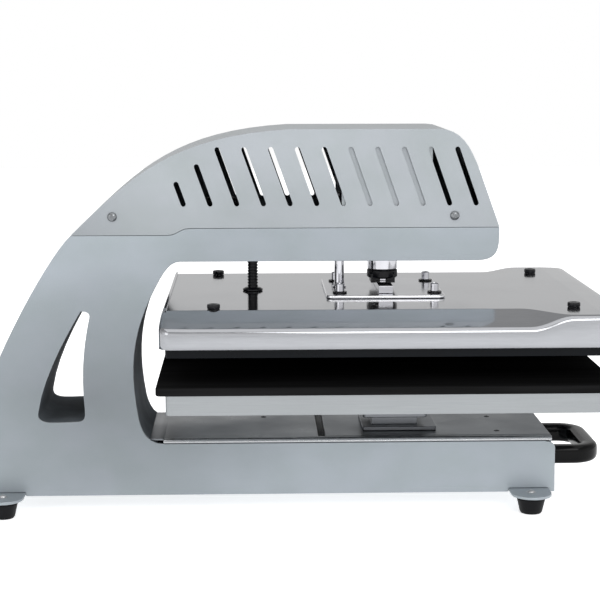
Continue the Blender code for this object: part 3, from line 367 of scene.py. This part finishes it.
def lathe(name, profile, centre, axis="Z", steps=48):
    """A (radius, height) profile turned about an axis; points on the axis close it."""
    shape = bmesh.new()
    rings = []
    for radius, height in profile:
        count = 1 if radius == 0 else steps
        ring = []
        for step in range(count):
            turn = 2 * math.pi * step / steps
            local = AXIS_PLACES[axis](radius * math.cos(turn), radius * math.sin(turn), height)
            ring.append(shape.verts.new(Vector(centre) + local))
        rings.append(ring)
    is_ring = profile[0][0] > 0
    following = rings[1:] + rings[:1] if is_ring else rings[1:]
    for first, second in zip(rings, following):
        for step in range(steps):
            after = (step + 1) % steps
            corners = [first[step % len(first)], first[after % len(first)]]
            corners += [second[after % len(second)], second[step % len(second)]]
            shape.faces.new(list(dict.fromkeys(corners)))
    return mesh_piece(name, shape)


def rounded_block(name, low, high, width, segments=3):
    """A block between two corners with all its edges rounded."""
    shape = bmesh.new()
    place = Matrix.Translation((low + high) / 2) @ Matrix.Diagonal((*(high - low), 1))
    bmesh.ops.create_cube(shape, size=1.0, matrix=place)
    bmesh.ops.bevel(
        shape, geom=list(shape.edges), offset=width, segments=segments,
        affect="EDGES", profile=0.5, clamp_overlap=True,
    )
    return mesh_piece(name, shape)


def middle_of(node):
    """(middle, low corner, high corner) of a CAD node's box."""
    low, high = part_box(node)
    return (low + high) / 2, low, high


def loop_grid(name, rings, cap_first, cap_last, angle):
    """Closed rings of equal length bridged into a skin, with optional flat ends."""
    shape = bmesh.new()
    rows = [[shape.verts.new(point) for point in ring] for ring in rings]
    count = len(rows[0])
    for lower, upper in zip(rows, rows[1:]):
        for index in range(count):
            after = (index + 1) % count
            shape.faces.new((lower[index], lower[after], upper[after], upper[index]))
    if cap_first:
        shape.faces.new(rows[0][::-1])
    if cap_last:
        shape.faces.new(rows[-1])
    bmesh.ops.remove_doubles(shape, verts=shape.verts, dist=SKIN_WELD)
    return mesh_piece(name, shape, angle)


# ---------------------------------------------------------------- stand, cover and base
def build_stand():
    for node in ("left_side_plate", "right_side_plate"):
        refined(node, 0.0007, 3, 60)
    for node in ("back_panel", "arm_channel", "base_floor"):
        refined(node, 0.0004, 2, 60)
    refined("drawer_front", 0.0008, 3)
    for node in ("throat_liner", "window_liner"):
        refined(node, 0.0003, 2, 60)
    for node in ("front_foot_bar", "rear_foot_bar"):
        refined(node, 0.0008, 3)


def paint_inner_shade(item, outward_y):
    """Gives every face that doesn't look outwards the dark inner grey: painted shade for the hollow inside.
    """
    item.data.materials.append(MATERIALS["inner_grey"])
    for face in item.data.polygons:
        if face.normal.y * outward_y < -0.5:
            face.material_index = 1


COVER_MIDDLE = Vector((-0.02, 0, 0.33))


def build_cover():
    """The three cover sheets: silver outside, dark grey inside as painted shade, and a darker copy of the
    paint on the side panels' rounded edges as painted shadow in the seams.
    """
    # A darker copy of the cover paint on the bevel faces: painted shadow along the seams and slot edges.
    edge = metallic_paint("cover_seam_painted_shadow", shaded(COVER_SILVER, 0.42), (-0.27, 0.31), (0.14, 0.11), 0.1)
    for node, side in (("cover_left_panel", -1), ("cover_right_panel", 1)):
        item = refined(node, 0.0007, 2, 60)
        paint_inner_shade(item, side)
        item.data.materials.append(edge)
        item.modifiers["Rounded edges"].material = 2
    top = refined("cover_top_sheet", 0.0006, 2, 60)
    # The top sheet's inward faces get the dark inner grey too: painted shade.
    top.data.materials.append(MATERIALS["inner_grey"])
    for face in top.data.polygons:
        inwards = (COVER_MIDDLE - face.center).dot(face.normal) > 0
        if inwards and abs(face.normal.y) < 0.5:
            face.material_index = 1


# Cover screws: the cross recess is two crossed bars, (width, height) in metres.
CROSS_BARS = ((0.0011, 0.0052), (0.0052, 0.0011))
CROSS_DEPTH = 0.0026
CROSS_TURN = math.radians(20)


def build_cover_screws():
    """Domed heads with a cross recess, each on a narrower shank."""
    for side, side_name in ((-1, "left"), (1, "right")):
        for end_name in ("rear", "front"):
            node = f"cover_screw_{side_name}_{end_name}"
            centre, low, high = middle_of(node)
            outer = high.y if side > 0 else low.y
            inner = low.y if side > 0 else high.y
            face = outer - side * 0.003
            profile = [(0, outer), (0.0022, outer - side * 0.0002), (0.0040, outer - side * 0.0009)]
            profile += [(0.0052, outer - side * 0.0019), (0.0055, outer - side * 0.0026), (0.0055, face)]
            profile += [(0.003, face), (0.003, inner), (0, inner)]
            head = lathe(node + "_head", profile, (centre.x, 0, centre.z), "Y", 40)
            turned = Matrix.Translation((centre.x, outer, centre.z)) @ Matrix.Rotation(CROSS_TURN, 4, "Y")
            cutter_shape = bmesh.new()
            for width, height in CROSS_BARS:
                place = turned @ Matrix.Diagonal((width, CROSS_DEPTH, height, 1))
                bmesh.ops.create_cube(cutter_shape, size=1.0, matrix=place)
            cross = mesh_piece(node + "_cross", cutter_shape)
            apply_cut(head, cross)
            head.data.materials.clear()
            head.data.materials.append(SCREW_STEEL)
            settle(head, node)


def apply_cut(target, cutter):
    """Applies a Boolean straight away and removes its cutter."""
    boolean = target.modifiers.new("Cut", "BOOLEAN")
    boolean.operation = "DIFFERENCE"
    boolean.object = cutter
    boolean.solver = "EXACT"
    boolean.use_self = True
    graph = bpy.context.evaluated_depsgraph_get()
    mesh = bpy.data.meshes.new_from_object(target.evaluated_get(graph))
    target.modifiers.clear()
    target.data = mesh
    smooth(mesh)
    bpy.data.objects.remove(cutter, do_unlink=True)


def build_feet():
    """Four moulded rubber feet, each held by a screw whose head shows on top of its bar."""
    for end_name in ("rear", "front"):
        for side_name in ("left", "right"):
            node = f"foot_{end_name}_{side_name}"
            centre = middle_of(node)[0]
            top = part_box(node)[1].z
            profile = [(0, 0.0006), (0.0095, 0.0003), (0.0108, 0), (0.0122, 0.0004), (0.0134, 0.0022)]
            profile += [(0.0166, top - 0.0052), (0.017, top - 0.0042), (0.0168, top - 0.0034)]
            profile += [(0.0166, top - 0.0028), (0.017, top - 0.0018), (0.017, top - 0.0006)]
            profile += [(0.0164, top), (0, top)]
            settle(lathe(node + "_rubber", profile, (centre.x, centre.y, 0)), node)
            bar_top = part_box(end_name + "_foot_bar")[1].z
            head = [(0, bar_top + 0.0012), (0.0012, bar_top + 0.0010), (0.0014, bar_top + 0.0022)]
            head += [(0.0026, bar_top + 0.0021), (0.0038, bar_top + 0.0014), (0.0044, bar_top + 0.0004)]
            head += [(0.0044, bar_top + 0.0002), (0.0062, bar_top + 0.0002), (0.0062, bar_top), (0, bar_top)]
            screw = lathe(f"foot_screw_{end_name}_{side_name}", head, (centre.x, centre.y, 0), "Z", 32)
            settle(screw, None, "frame", "zinc")


# Places (x, y) of the small black screws, and half the width of the sill behind the deck.
DECK_SCREW = (-0.0374, 0.041)
TRAY_SCREWS = ((0.244, 0.034), (0.245, -0.045))
SILL_HALF = 0.0728


def build_deck():
    """The deck and its sliding tray are a duller, darker brushed steel than the hood; the deck's rolled edge
    gets a lighter copy as a painted highlight.
    """
    steel = brushed_metal("deck_steel", DECK_STEEL, 0.26, 0.4, (0.5, 9, 9), 70.0, 0.04, 0.3)
    lip_painted_highlight = brushed_metal("deck_lip_painted_highlight", (0.5, 0.51, 0.525), 0.24, 0.32, (0.5, 9, 9), 70.0, 0.005, 0.0)
    for node in ("base_deck", "slide_tray"):
        item = refined(node, 0.0008, 3, 50)
        item.data.materials[0] = steel
        item.data.materials.append(lip_painted_highlight)
        # Faces of the deck's rolled edge get the lighter steel: painted highlight.
        for face in item.data.polygons:
            rolled = abs(face.normal.y) > 0.15 and face.normal.z > 0.05
            face.material_index = 1 if rolled and node == "base_deck" else 0
    deck_low, deck_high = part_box("base_deck")
    tray_low, tray_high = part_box("slide_tray")
    # A black rubber strip fills the gap before the tray: a dark piece that stands for the shadow in that gap.
    strip_low = Vector((tray_low.x - 0.0082, -tray_high.y, deck_high.z - 0.006))
    strip_high = Vector((tray_low.x - 0.0004, tray_high.y, deck_high.z - 0.0012))
    settle(rounded_block("deck_gap_painted_shadow", strip_low, strip_high, 0.0008), None, "frame", "black_rubber")
    sill_low = Vector((deck_low.x - 0.016, -SILL_HALF, deck_high.z - 0.0025))
    sill_high = Vector((deck_low.x + 0.0014, SILL_HALF, deck_high.z + 0.00005))
    sill = rounded_block("deck_rear_sill", sill_low, sill_high, 0.0004)
    sill.data.materials.append(steel)
    settle(sill, None, "frame", "stainless")
    low_screw("deck_screw", (DECK_SCREW[0], DECK_SCREW[1], deck_high.z), "frame")
    for index, (x, y) in enumerate(TRAY_SCREWS):
        low_screw(f"tray_screw_{index}", (x, y, tray_high.z), "drawer")


def low_screw(name, place, body):
    """A small countersunk screw that stands barely proud of the sheet."""
    x, y, top = place
    profile = [(0, top + 0.0001), (0.0011, top + 0.0001), (0.0013, top + 0.0006), (0.0025, top + 0.0006)]
    profile += [(0.0034, top + 0.0002), (0.0035, top - 0.0003), (0, top - 0.0003)]
    settle(lathe(name, profile, (x, y, 0), "Z", 28), None, body, "black_steel")


# ---------------------------------------------------------------- press head
# The hood's plan and heights, in metres: its walls, its flat top and the band that slopes between them.
HOOD_REAR, HOOD_FRONT, HOOD_CREASE = -0.154, 0.371, 0.338
HOOD_WALL, HOOD_BOTTOM, HOOD_TOP = 0.212, 0.2203, 0.256
WALL_TOP_LOW, WALL_TOP_HIGH, FRONT_TOP = 0.242, 0.2543, 0.2545
PLATEAU_NARROW, PLATEAU_WIDE = 0.158, 0.2045
REAR_INSET, REAR_DROP = 0.0035, 0.0025
CORNER_RADIUS, CORNER_STEPS = 0.014, 6
SHOULDER, CREST = 0.0062, 0.0007
HOOD_SHEET = 0.0014
# The crest runs inwards from each edge point to the nearest point of the middle line between these two.
INNER_REAR, INNER_FRONT = -0.034, 0.3
# Where along x the flat top widens, and where the walls rise with it.
FLARE_X, RISE_X = (0.252, 0.304), (0.258, 0.304)


def eased(value, start, end):
    """0 before start, 1 after end, and a smooth rise between."""
    share = min(max((value - start) / (end - start), 0), 1)
    return share * share * (3 - 2 * share)


def hood_stations():
    """Half the plan, rear middle to front middle: (wall x, wall y, flat top x, flat top y, wall top)."""
    stations = []
    plateau_rear = HOOD_REAR + REAR_INSET
    drop = HOOD_TOP - WALL_TOP_LOW
    for y in (0.0, 0.08, 0.13, 0.15, PLATEAU_NARROW):
        stations.append((HOOD_REAR, y, plateau_rear, y, HOOD_TOP - REAR_DROP))
    for y in (0.17, 0.185, 0.202):
        down = drop * (y - PLATEAU_NARROW) / (HOOD_WALL - PLATEAU_NARROW)
        stations.append((HOOD_REAR, y, plateau_rear, PLATEAU_NARROW, HOOD_TOP - REAR_DROP - down * 0.75))
    for step in range(1, CORNER_STEPS + 1):
        turn = math.radians(90 * step / CORNER_STEPS)
        x = HOOD_REAR + CORNER_RADIUS * (1 - math.cos(turn))
        y = HOOD_WALL - CORNER_RADIUS + CORNER_RADIUS * math.sin(turn)
        stations.append((x, y, plateau_rear, PLATEAU_NARROW, WALL_TOP_LOW + 0.0004))
    along = [-0.12, -0.06, 0.0, 0.06, 0.12, 0.18, 0.22] + [0.24 + 0.0055 * step for step in range(14)]
    for x in along:
        flare = eased(x, *FLARE_X)
        rise = eased(x, *RISE_X)
        plateau_y = PLATEAU_NARROW + flare * (PLATEAU_WIDE - PLATEAU_NARROW)
        wall_top = WALL_TOP_LOW + rise * (WALL_TOP_HIGH - WALL_TOP_LOW)
        stations.append((x, HOOD_WALL, max(x, plateau_rear), plateau_y, wall_top))
    stations.append((HOOD_CREASE, HOOD_WALL, HOOD_CREASE - 0.004, PLATEAU_WIDE, WALL_TOP_HIGH))
    for step in range(CORNER_STEPS + 1):
        turn = math.radians(90 * step / CORNER_STEPS)
        x = HOOD_FRONT - CORNER_RADIUS + CORNER_RADIUS * math.sin(turn)
        y = HOOD_WALL - CORNER_RADIUS + CORNER_RADIUS * math.cos(turn)
        stations.append((x, y, HOOD_CREASE, PLATEAU_WIDE - 0.001 * step / CORNER_STEPS, FRONT_TOP))
    for y in (0.15, 0.08, 0.0):
        stations.append((HOOD_FRONT, y, HOOD_CREASE, y, FRONT_TOP))
    return stations


def build_hood():
    """Folded polished hood: upright walls, a rolled shoulder, a sloping side band and a flat top."""
    half = hood_stations()
    plan = [(x, -y, px, -py, top) for x, y, px, py, top in half]
    plan += [(x, y, px, py, top) for x, y, px, py, top in half[-2:0:-1]]
    columns = []
    for x, y, px, py, wall_top in plan:
        corner = Vector((x, y, wall_top))
        edge = Vector((px, py, HOOD_TOP))
        centre = Vector((min(max(px, INNER_REAR), INNER_FRONT), 0, HOOD_TOP))
        towards = (edge - corner).normalized()
        start = corner - Vector((0, 0, SHOULDER))
        end = corner + towards * SHOULDER
        inwards = (centre - edge).normalized()
        column = [Vector((x, y, HOOD_BOTTOM)), Vector((x, y, HOOD_BOTTOM + 0.004))]
        column += [start.lerp(corner, t).lerp(corner.lerp(end, t), t) for t in (0, 0.2, 0.4, 0.6, 0.8, 1)]
        column += [end.lerp(edge, t) for t in (0.3, 0.6)]
        before = edge - towards * CREST
        after = edge + inwards * CREST
        column += [before.lerp(edge, t).lerp(edge.lerp(after, t), t) for t in (0, 0.5, 1)]
        column += [after + inwards * 0.0008, after + inwards * 0.004]
        columns.append(column)
    rings = [[column[level] for column in columns] for level in range(len(columns[0]))]
    hood = loop_grid("hood_skin", rings, False, True, 50)
    for face in hood.data.polygons:
        if face.normal.z > 0.99999:
            face.use_smooth = False
    thick = hood.modifiers.new("Sheet", "SOLIDIFY")
    thick.thickness = HOOD_SHEET
    thick.offset = -1
    settle(hood, "hood")


# Points of the lower plate in the band above its underside drop by this much from the CAD form.
UNDERSIDE_BAND, UNDERSIDE_DROP = 0.001, 0.0021


def build_platens():
    refined("heater_plate", 0.0009, 3)
    plate = refined("lower_plate", 0.0007, 3)
    under = min(vertex.co.z for vertex in plate.data.vertices)
    for vertex in plate.data.vertices:
        if vertex.co.z < under + UNDERSIDE_BAND:
            vertex.co.z -= UNDERSIDE_DROP
    pad = refined("silicone_pad", 0.0016, 4)
    refined("insulation", 0.001, 2)


# Below EAR_TIP_Z are the tips of the fork's ears, which end this much higher than in the CAD form.
EAR_TIP_Z = 0.2655
EAR_TRIM = 0.002


def build_mount():
    """The plate on the hood, its four bolts, the two rods above it, and the fork with its swivel bar."""
    plate = refined("mount_plate", 0.0014, 4)
    plate.data.materials[0] = brushed_metal(
        "nickel_plate", NICKEL, 0.12, 0.2, (0.6, 9, 9), 60.0, 0.01, 0.0
    )
    # The plate's sides and rounded edges get a far brighter copy of the nickel: painted highlight.
    plate.data.materials.append(bright_metal("nickel_edge_painted_highlight", (0.9, 0.9, 0.92), 0.22, 0.32))
    plate.modifiers["Rounded edges"].material = 1
    for face in plate.data.polygons:
        face.material_index = 1 if abs(face.normal.z) < 0.5 else 0
    for place in ("rear_left", "rear_right", "front_left", "front_right"):
        node = "mount_bolt_" + place
        centre, low, high = middle_of(node)
        base, top = low.z, high.z
        washer = [(0.0052, base), (0.0084, base), (0.0085, base + 0.0003), (0.0085, base + 0.0012)]
        washer += [(0.0082, base + 0.0015), (0.0052, base + 0.0015)]
        head = [(0, base + 0.0017), (0.0046, base + 0.0017), (0.0049, base + 0.002), (0.0049, top - 0.0008)]
        head += [(0.0044, top - 0.0001), (0.0041, top), (0.0029, top), (0.0027, top - 0.0003)]
        head += [(0.0026, top - 0.0042), (0, top - 0.0048)]
        spot = (centre.x, centre.y, 0)
        settle(lathe(node + "_screw", head, spot, "Z", 36), node)
        settle(lathe(node + "_washer", washer, spot, "Z", 36), None, "press_head", "black_steel")
    centre, low, high = middle_of("guide_rod")
    base = low.z
    profile = [(0, base), (0.0085, base), (0.0085, base + 0.0014), (0.0068, base + 0.0016)]
    profile += [(0.0066, base + 0.005)]
    profile += [(0.0064, base + 0.0056), (0.006, base + 0.0058), (0.006, high.z - 0.001)]
    profile += [(0.005, high.z), (0, high.z)]
    settle(lathe("guide_rod_turned", profile, (centre.x, centre.y, 0), "Z", 40), "guide_rod")
    centre, low, high = middle_of("main_rod")
    profile = [(0, low.z), (0.0172, low.z), (0.01835, low.z + 0.0008), (0.01835, high.z - 0.001)]
    profile += [(0.017, high.z), (0, high.z)]
    settle(lathe("main_rod_turned", profile, (centre.x, centre.y, 0), "Z", 64), "main_rod")
    fork = refined("rod_fork", 0.0008, 3, 50)
    for vertex in fork.data.vertices:
        if vertex.co.z < EAR_TIP_Z:
            vertex.co.z += EAR_TRIM
    refined("swivel_bar", 0.0006, 3, 50)


def build_caps():
    """The four moulded caps on top of the hood."""
    for end_name in ("rear", "front"):
        for side_name in ("left", "right"):
            node = f"hood_cap_{end_name}_{side_name}"
            centre, low, high = middle_of(node)
            profile = [(0, high.z - 0.0006), (0.0028, high.z - 0.0006), (0.0034, high.z - 0.0001)]
            profile += [(0.0064, high.z), (0.0072, high.z - 0.0006), (0.0074, high.z - 0.0016)]
            profile += [(0.0073, low.z + 0.0008), (0.0068, low.z), (0, low.z)]
            settle(lathe(node + "_moulded", profile, (centre.x, centre.y, 0), "Z", 40), node)


# Conduit: its rib spacing, its radius at shares of one rib, the bend and where the bend begins.
RIB_PITCH = 0.0036
RIB_OUTER, RIB_INNER = 0.0063, 0.0054
RIB = ((0.0, RIB_INNER), (0.22, RIB_INNER), (0.36, RIB_OUTER), (0.78, RIB_OUTER), (0.92, RIB_INNER))
CONDUIT_BEND, CONDUIT_STRAIGHT_TOP = 0.026, 0.338
CONDUIT_SIDES = 28
BEND_STEPS = 12


def build_conduit():
    """Corrugated conduit: ribs run along its route up into the arm and back."""
    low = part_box("conduit")[0]
    gland, gland_low, gland_high = middle_of("conduit_gland")
    x, bend, top = gland.x, CONDUIT_BEND, CONDUIT_STRAIGHT_TOP
    route = [Vector((x, 0, low.z)), Vector((x, 0, top))]
    for step in range(1, BEND_STEPS + 1):
        turn = math.radians(90 * step / BEND_STEPS)
        route.append(Vector((x - bend + bend * math.cos(turn), 0, top + bend * math.sin(turn))))
    route.append(Vector((low.x, 0, top + bend)))
    length = sum((b - a).length for a, b in zip(route, route[1:]))
    rings = []
    for index in range(int(length / RIB_PITCH)):
        for share, radius in RIB:
            spot, along = route_at(route, (index + share) * RIB_PITCH)
            across = Vector((0, 1, 0))
            up = along.cross(across)
            ring = []
            for step in range(CONDUIT_SIDES):
                turn = 2 * math.pi * step / CONDUIT_SIDES
                ring.append(spot + (across * math.cos(turn) + up * math.sin(turn)) * radius)
            rings.append(ring)
    item = loop_grid("conduit_corrugated", rings, True, True, 60)
    settle(item, "conduit")
    base, top = gland_low.z, gland_high.z
    profile = [(0.0064, base), (0.0118, base), (0.0122, base + 0.0006), (0.0121, base + 0.0018)]
    profile += [(0.0108, base + 0.0025), (0.0092, top - 0.0002), (0.0086, top), (0.0064, top)]
    settle(lathe("conduit_gland_moulded", profile, (gland.x, gland.y, 0), "Z", 48), "conduit_gland")


def route_at(route, distance):
    """The point at a distance along a route, and the route's direction there."""
    left = distance
    for a, b in zip(route, route[1:]):
        span = (b - a).length
        if left <= span:
            return a.lerp(b, left / span), (b - a).normalized()
        left -= span
    return route[-1], (route[-1] - route[-2]).normalized()


# ---------------------------------------------------------------- drawer
HANDLE_BAR = 0.021
HANDLE_CORNER = 0.024
HANDLE_SIDES = 40
# 1 would make the bar's section an oval; less fills out its corners.
HANDLE_SQUARENESS = 0.62


def build_handle():
    """Gloss-black U handle with a soft oval section, swept along its bent bar."""
    middle, low, high = middle_of("handle")
    height = high.z - low.z
    middle_z = middle.z
    half = high.y - HANDLE_BAR / 2
    front = high.x - HANDLE_BAR / 2
    radius = HANDLE_CORNER
    route = [Vector((low.x, -half, middle_z)), Vector((low.x + 0.01, -half, middle_z))]
    for centre_y, first, last in ((-half + radius, 270, 360), (half - radius, 0, 90)):
        for step in range(BEND_STEPS + 1):
            turn = math.radians(first + (last - first) * step / BEND_STEPS)
            x = front - radius + radius * math.cos(turn)
            y = centre_y + radius * math.sin(turn)
            route.append(Vector((x, y, middle_z)))
    route += [Vector((low.x + 0.01, half, middle_z)), Vector((low.x, half, middle_z))]
    rings = []
    for index, spot in enumerate(route):
        before = route[max(index - 1, 0)]
        after = route[min(index + 1, len(route) - 1)]
        along = (after - before).normalized()
        across = Vector((along.y, -along.x, 0))
        ring = []
        for step in range(HANDLE_SIDES):
            turn = 2 * math.pi * step / HANDLE_SIDES
            c, s = math.cos(turn), math.sin(turn)
            wide = math.copysign(abs(c) ** HANDLE_SQUARENESS, c) * HANDLE_BAR / 2
            tall = math.copysign(abs(s) ** HANDLE_SQUARENESS, s) * height / 2
            ring.append(spot + across * wide + Vector((0, 0, tall)))
        rings.append(ring)
    item = loop_grid("handle_moulded", rings, True, True, 60)
    settle(item, "handle")


def build_pedestal():
    steel = brushed_metal("pedestal_steel", (0.19, 0.197, 0.21), 0.3, 0.42, (0.5, 9, 9), 70.0, 0.03, 0.2)
    for node, width in (("pedestal_foot", 0.0007), ("pedestal_bracket", 0.0009)):
        refined(node, width, 3).data.materials[0] = steel
    refined("carriage", 0.0006, 2)


# ---------------------------------------------------------------- controls and services
SCREEN_BORDER = 0.009
# Name, sideways and upward place of each inlet pin from the inlet's middle, and half of a pin's size.
INLET_PINS = (("earth", 0, 0.0022), ("left", -0.0062, -0.0022), ("right", 0.0062, -0.0022))
PIN_HALF_Y, PIN_HALF_Z = 0.001, 0.0019


def build_services():
    """The control panel with its display, the power inlet with its pins, and the rocker switch."""
    panel = refined("control_panel", 0.0006, 2)
    shape = bmesh.new()
    shape.from_mesh(panel.data)
    outer = [face for face in shape.faces if face.normal.x > 0.3]
    bmesh.ops.inset_region(shape, faces=outer, thickness=SCREEN_BORDER, use_boundary=True)
    for face in outer:
        face.material_index = 1
    shape.to_mesh(panel.data)
    shape.free()
    panel.data.materials.append(touch_screen())
    refined("power_inlet", 0.0005, 2)
    middle, low, high = middle_of("power_inlet")
    for name, across, up in INLET_PINS:
        y, z = middle.y + across, middle.z + up
        blade_low = Vector((low.x + 0.0035, y - PIN_HALF_Y, z - PIN_HALF_Z))
        blade_high = Vector((high.x - 0.003, y + PIN_HALF_Y, z + PIN_HALF_Z))
        blade = rounded_block(f"inlet_pin_{name}", blade_low, blade_high, 0.0003, 2)
        settle(blade, None, "frame", "chrome")
    refined("rocker_switch", 0.0006, 3)


def dress_remaining():
    """Every CAD node that still shows gets its slot's procedural finish."""
    for node, item in NODES.items():
        if item.hide_render:
            continue
        item.data.materials.clear()
        item.data.materials.append(MATERIALS[SLOT_OF[node]])


# ---------------------------------------------------------------- studio
def build_camera():
    camera = bpy.data.cameras.new("studio_camera")
    camera.lens = CAMERA_LENS_MM
    camera.sensor_width = SENSOR_MM
    camera.clip_end = 60
    item = link(bpy.data.objects.new("studio_camera", camera))
    upright = Matrix.Rotation(math.radians(90) - CAMERA_PITCH_DOWN, 4, "X")
    turn = Matrix.Rotation(-CAMERA_YAW_RIGHT, 4, "Z")
    roll = Matrix.Rotation(-CAMERA_ROLL, 4, "Z")
    item.matrix_world = Matrix.Translation(CAMERA_PLACE) @ turn @ upright @ roll
    bpy.context.scene.camera = item


def area_light(name, place, target, size, power):
    light = bpy.data.lights.new(name, "AREA")
    light.shape = "RECTANGLE"
    light.size, light.size_y = size
    light.energy = power
    item = link(bpy.data.objects.new(name, light))
    item.location = place
    item.rotation_euler = (Vector(target) - Vector(place)).to_track_quat("-Z", "Y").to_euler()


WORLD_STRENGTH = 1.4
# Grey values by height, from straight down (0) over the horizon (0.5) to straight up (1).
REAR_SKY = ((0.0, 0.36), (0.5, 0.53), (0.62, 0.47), (0.72, 0.36), (0.86, 0.37), (1.0, 0.4))
FRONT_SKY = ((0.0, 0.4), (0.5, 0.9), (0.62, 0.84), (0.78, 0.5), (1.0, 0.45))


def build_world():
    """A grey surround, brightest in front at eye height; the camera itself sees it as plain white."""
    world = bpy.data.worlds.new("white_studio")
    bpy.context.scene.world = world
    world.use_nodes = True
    tree = world.node_tree
    background = tree.nodes["Background"]
    place = add_node(tree, "ShaderNodeTexCoord")
    split = add_node(tree, "ShaderNodeSeparateXYZ")
    tree.links.new(place.outputs["Generated"], split.inputs["Vector"])
    height = ranged(tree, split.outputs["Z"], -1, 1, 0, 1)
    rear = grey_ramp(tree, height, REAR_SKY)
    front = grey_ramp(tree, height, FRONT_SKY)
    side = ranged(tree, split.outputs["Y"], -0.25, 0.25, 0, 1)
    eye = add_node(tree, "ShaderNodeLightPath")
    white = (1 / WORLD_STRENGTH, 1 / WORLD_STRENGTH, 1 / WORLD_STRENGTH, 1)
    seen = mixed(tree, eye.outputs["Is Camera Ray"], mixed(tree, side, front, rear), white)
    tree.links.new(seen, background.inputs["Color"])
    background.inputs["Strength"].default_value = WORLD_STRENGTH


def grey_ramp(tree, value, stops):
    """A ramp of greys, given as (position, grey) pairs."""
    ramp = add_node(tree, "ShaderNodeValToRGB")
    elements = ramp.color_ramp.elements
    for index, (position, grey) in enumerate(stops):
        element = elements[index] if index < 2 else elements.new(position)
        element.position = position
        element.color = (grey, grey, grey, 1)
    tree.links.new(value, ramp.inputs["Fac"])
    return ramp.outputs["Color"]


FLOOR_Z = -0.0002


def build_floor():
    """A white floor that glows enough to read as paper and still takes the object's soft shadow."""
    shape = bmesh.new()
    bmesh.ops.create_grid(shape, x_segments=24, y_segments=24, size=6.0)
    for vertex in shape.verts:
        vertex.co.z = FLOOR_Z
    floor = mesh_piece("studio_floor", shape, recalculate=False)
    material, tree, shader = new_material("white_floor", Roughness=0.9, Specular_IOR_Level=0.1)
    clouds = surface_noise(tree, 3.0, detail=3.0)
    eye = add_node(tree, "ShaderNodeLightPath")
    lit = two_tone(tree, clouds, (0.76, 0.77, 0.78), (0.8, 0.81, 0.82))
    in_view = two_tone(tree, clouds, (0.92, 0.925, 0.93), (0.95, 0.95, 0.95))
    seen = mixed(tree, eye.outputs["Is Camera Ray"], lit, in_view)
    tree.links.new(seen, shader.inputs["Base Color"])
    glow = add_node(tree, "ShaderNodeMath", operation="MULTIPLY_ADD", inputs={1: 0.1, 2: 0.55})
    tree.links.new(eye.outputs["Is Camera Ray"], glow.inputs[0])
    tree.links.new(glow.outputs[0], shader.inputs["Emission Strength"])
    shader.inputs["Emission Color"].default_value = (1, 1, 1, 1)
    add_bump(tree, shader, clouds, 0.02, 0.001)
    floor.data.materials.append(material)


def build_studio():
    """World, floor and three softboxes: place, target, size in metres, power in watts."""
    build_world()
    build_floor()
    area_light("key_softbox", (0.9, -2.6, 1.9), (0, 0, 0.25), (1.8, 1.4), 26)
    area_light("overhead_softbox", (0.1, -0.3, 2.3), (0.1, 0, 0.2), (3.2, 2.6), 20)
    area_light("fill_softbox", (-1.9, -1.9, 1.0), (0.1, 0, 0.2), (1.2, 1.2), 5)
    bpy.context.scene.view_settings.view_transform = "Standard"


build_camera()
build_studio()
build_stand()
build_cover()
build_cover_screws()
build_feet()
build_deck()
build_hood()
build_platens()
build_mount()
build_caps()
build_conduit()
build_handle()
build_pedestal()
build_services()
dress_remaining()
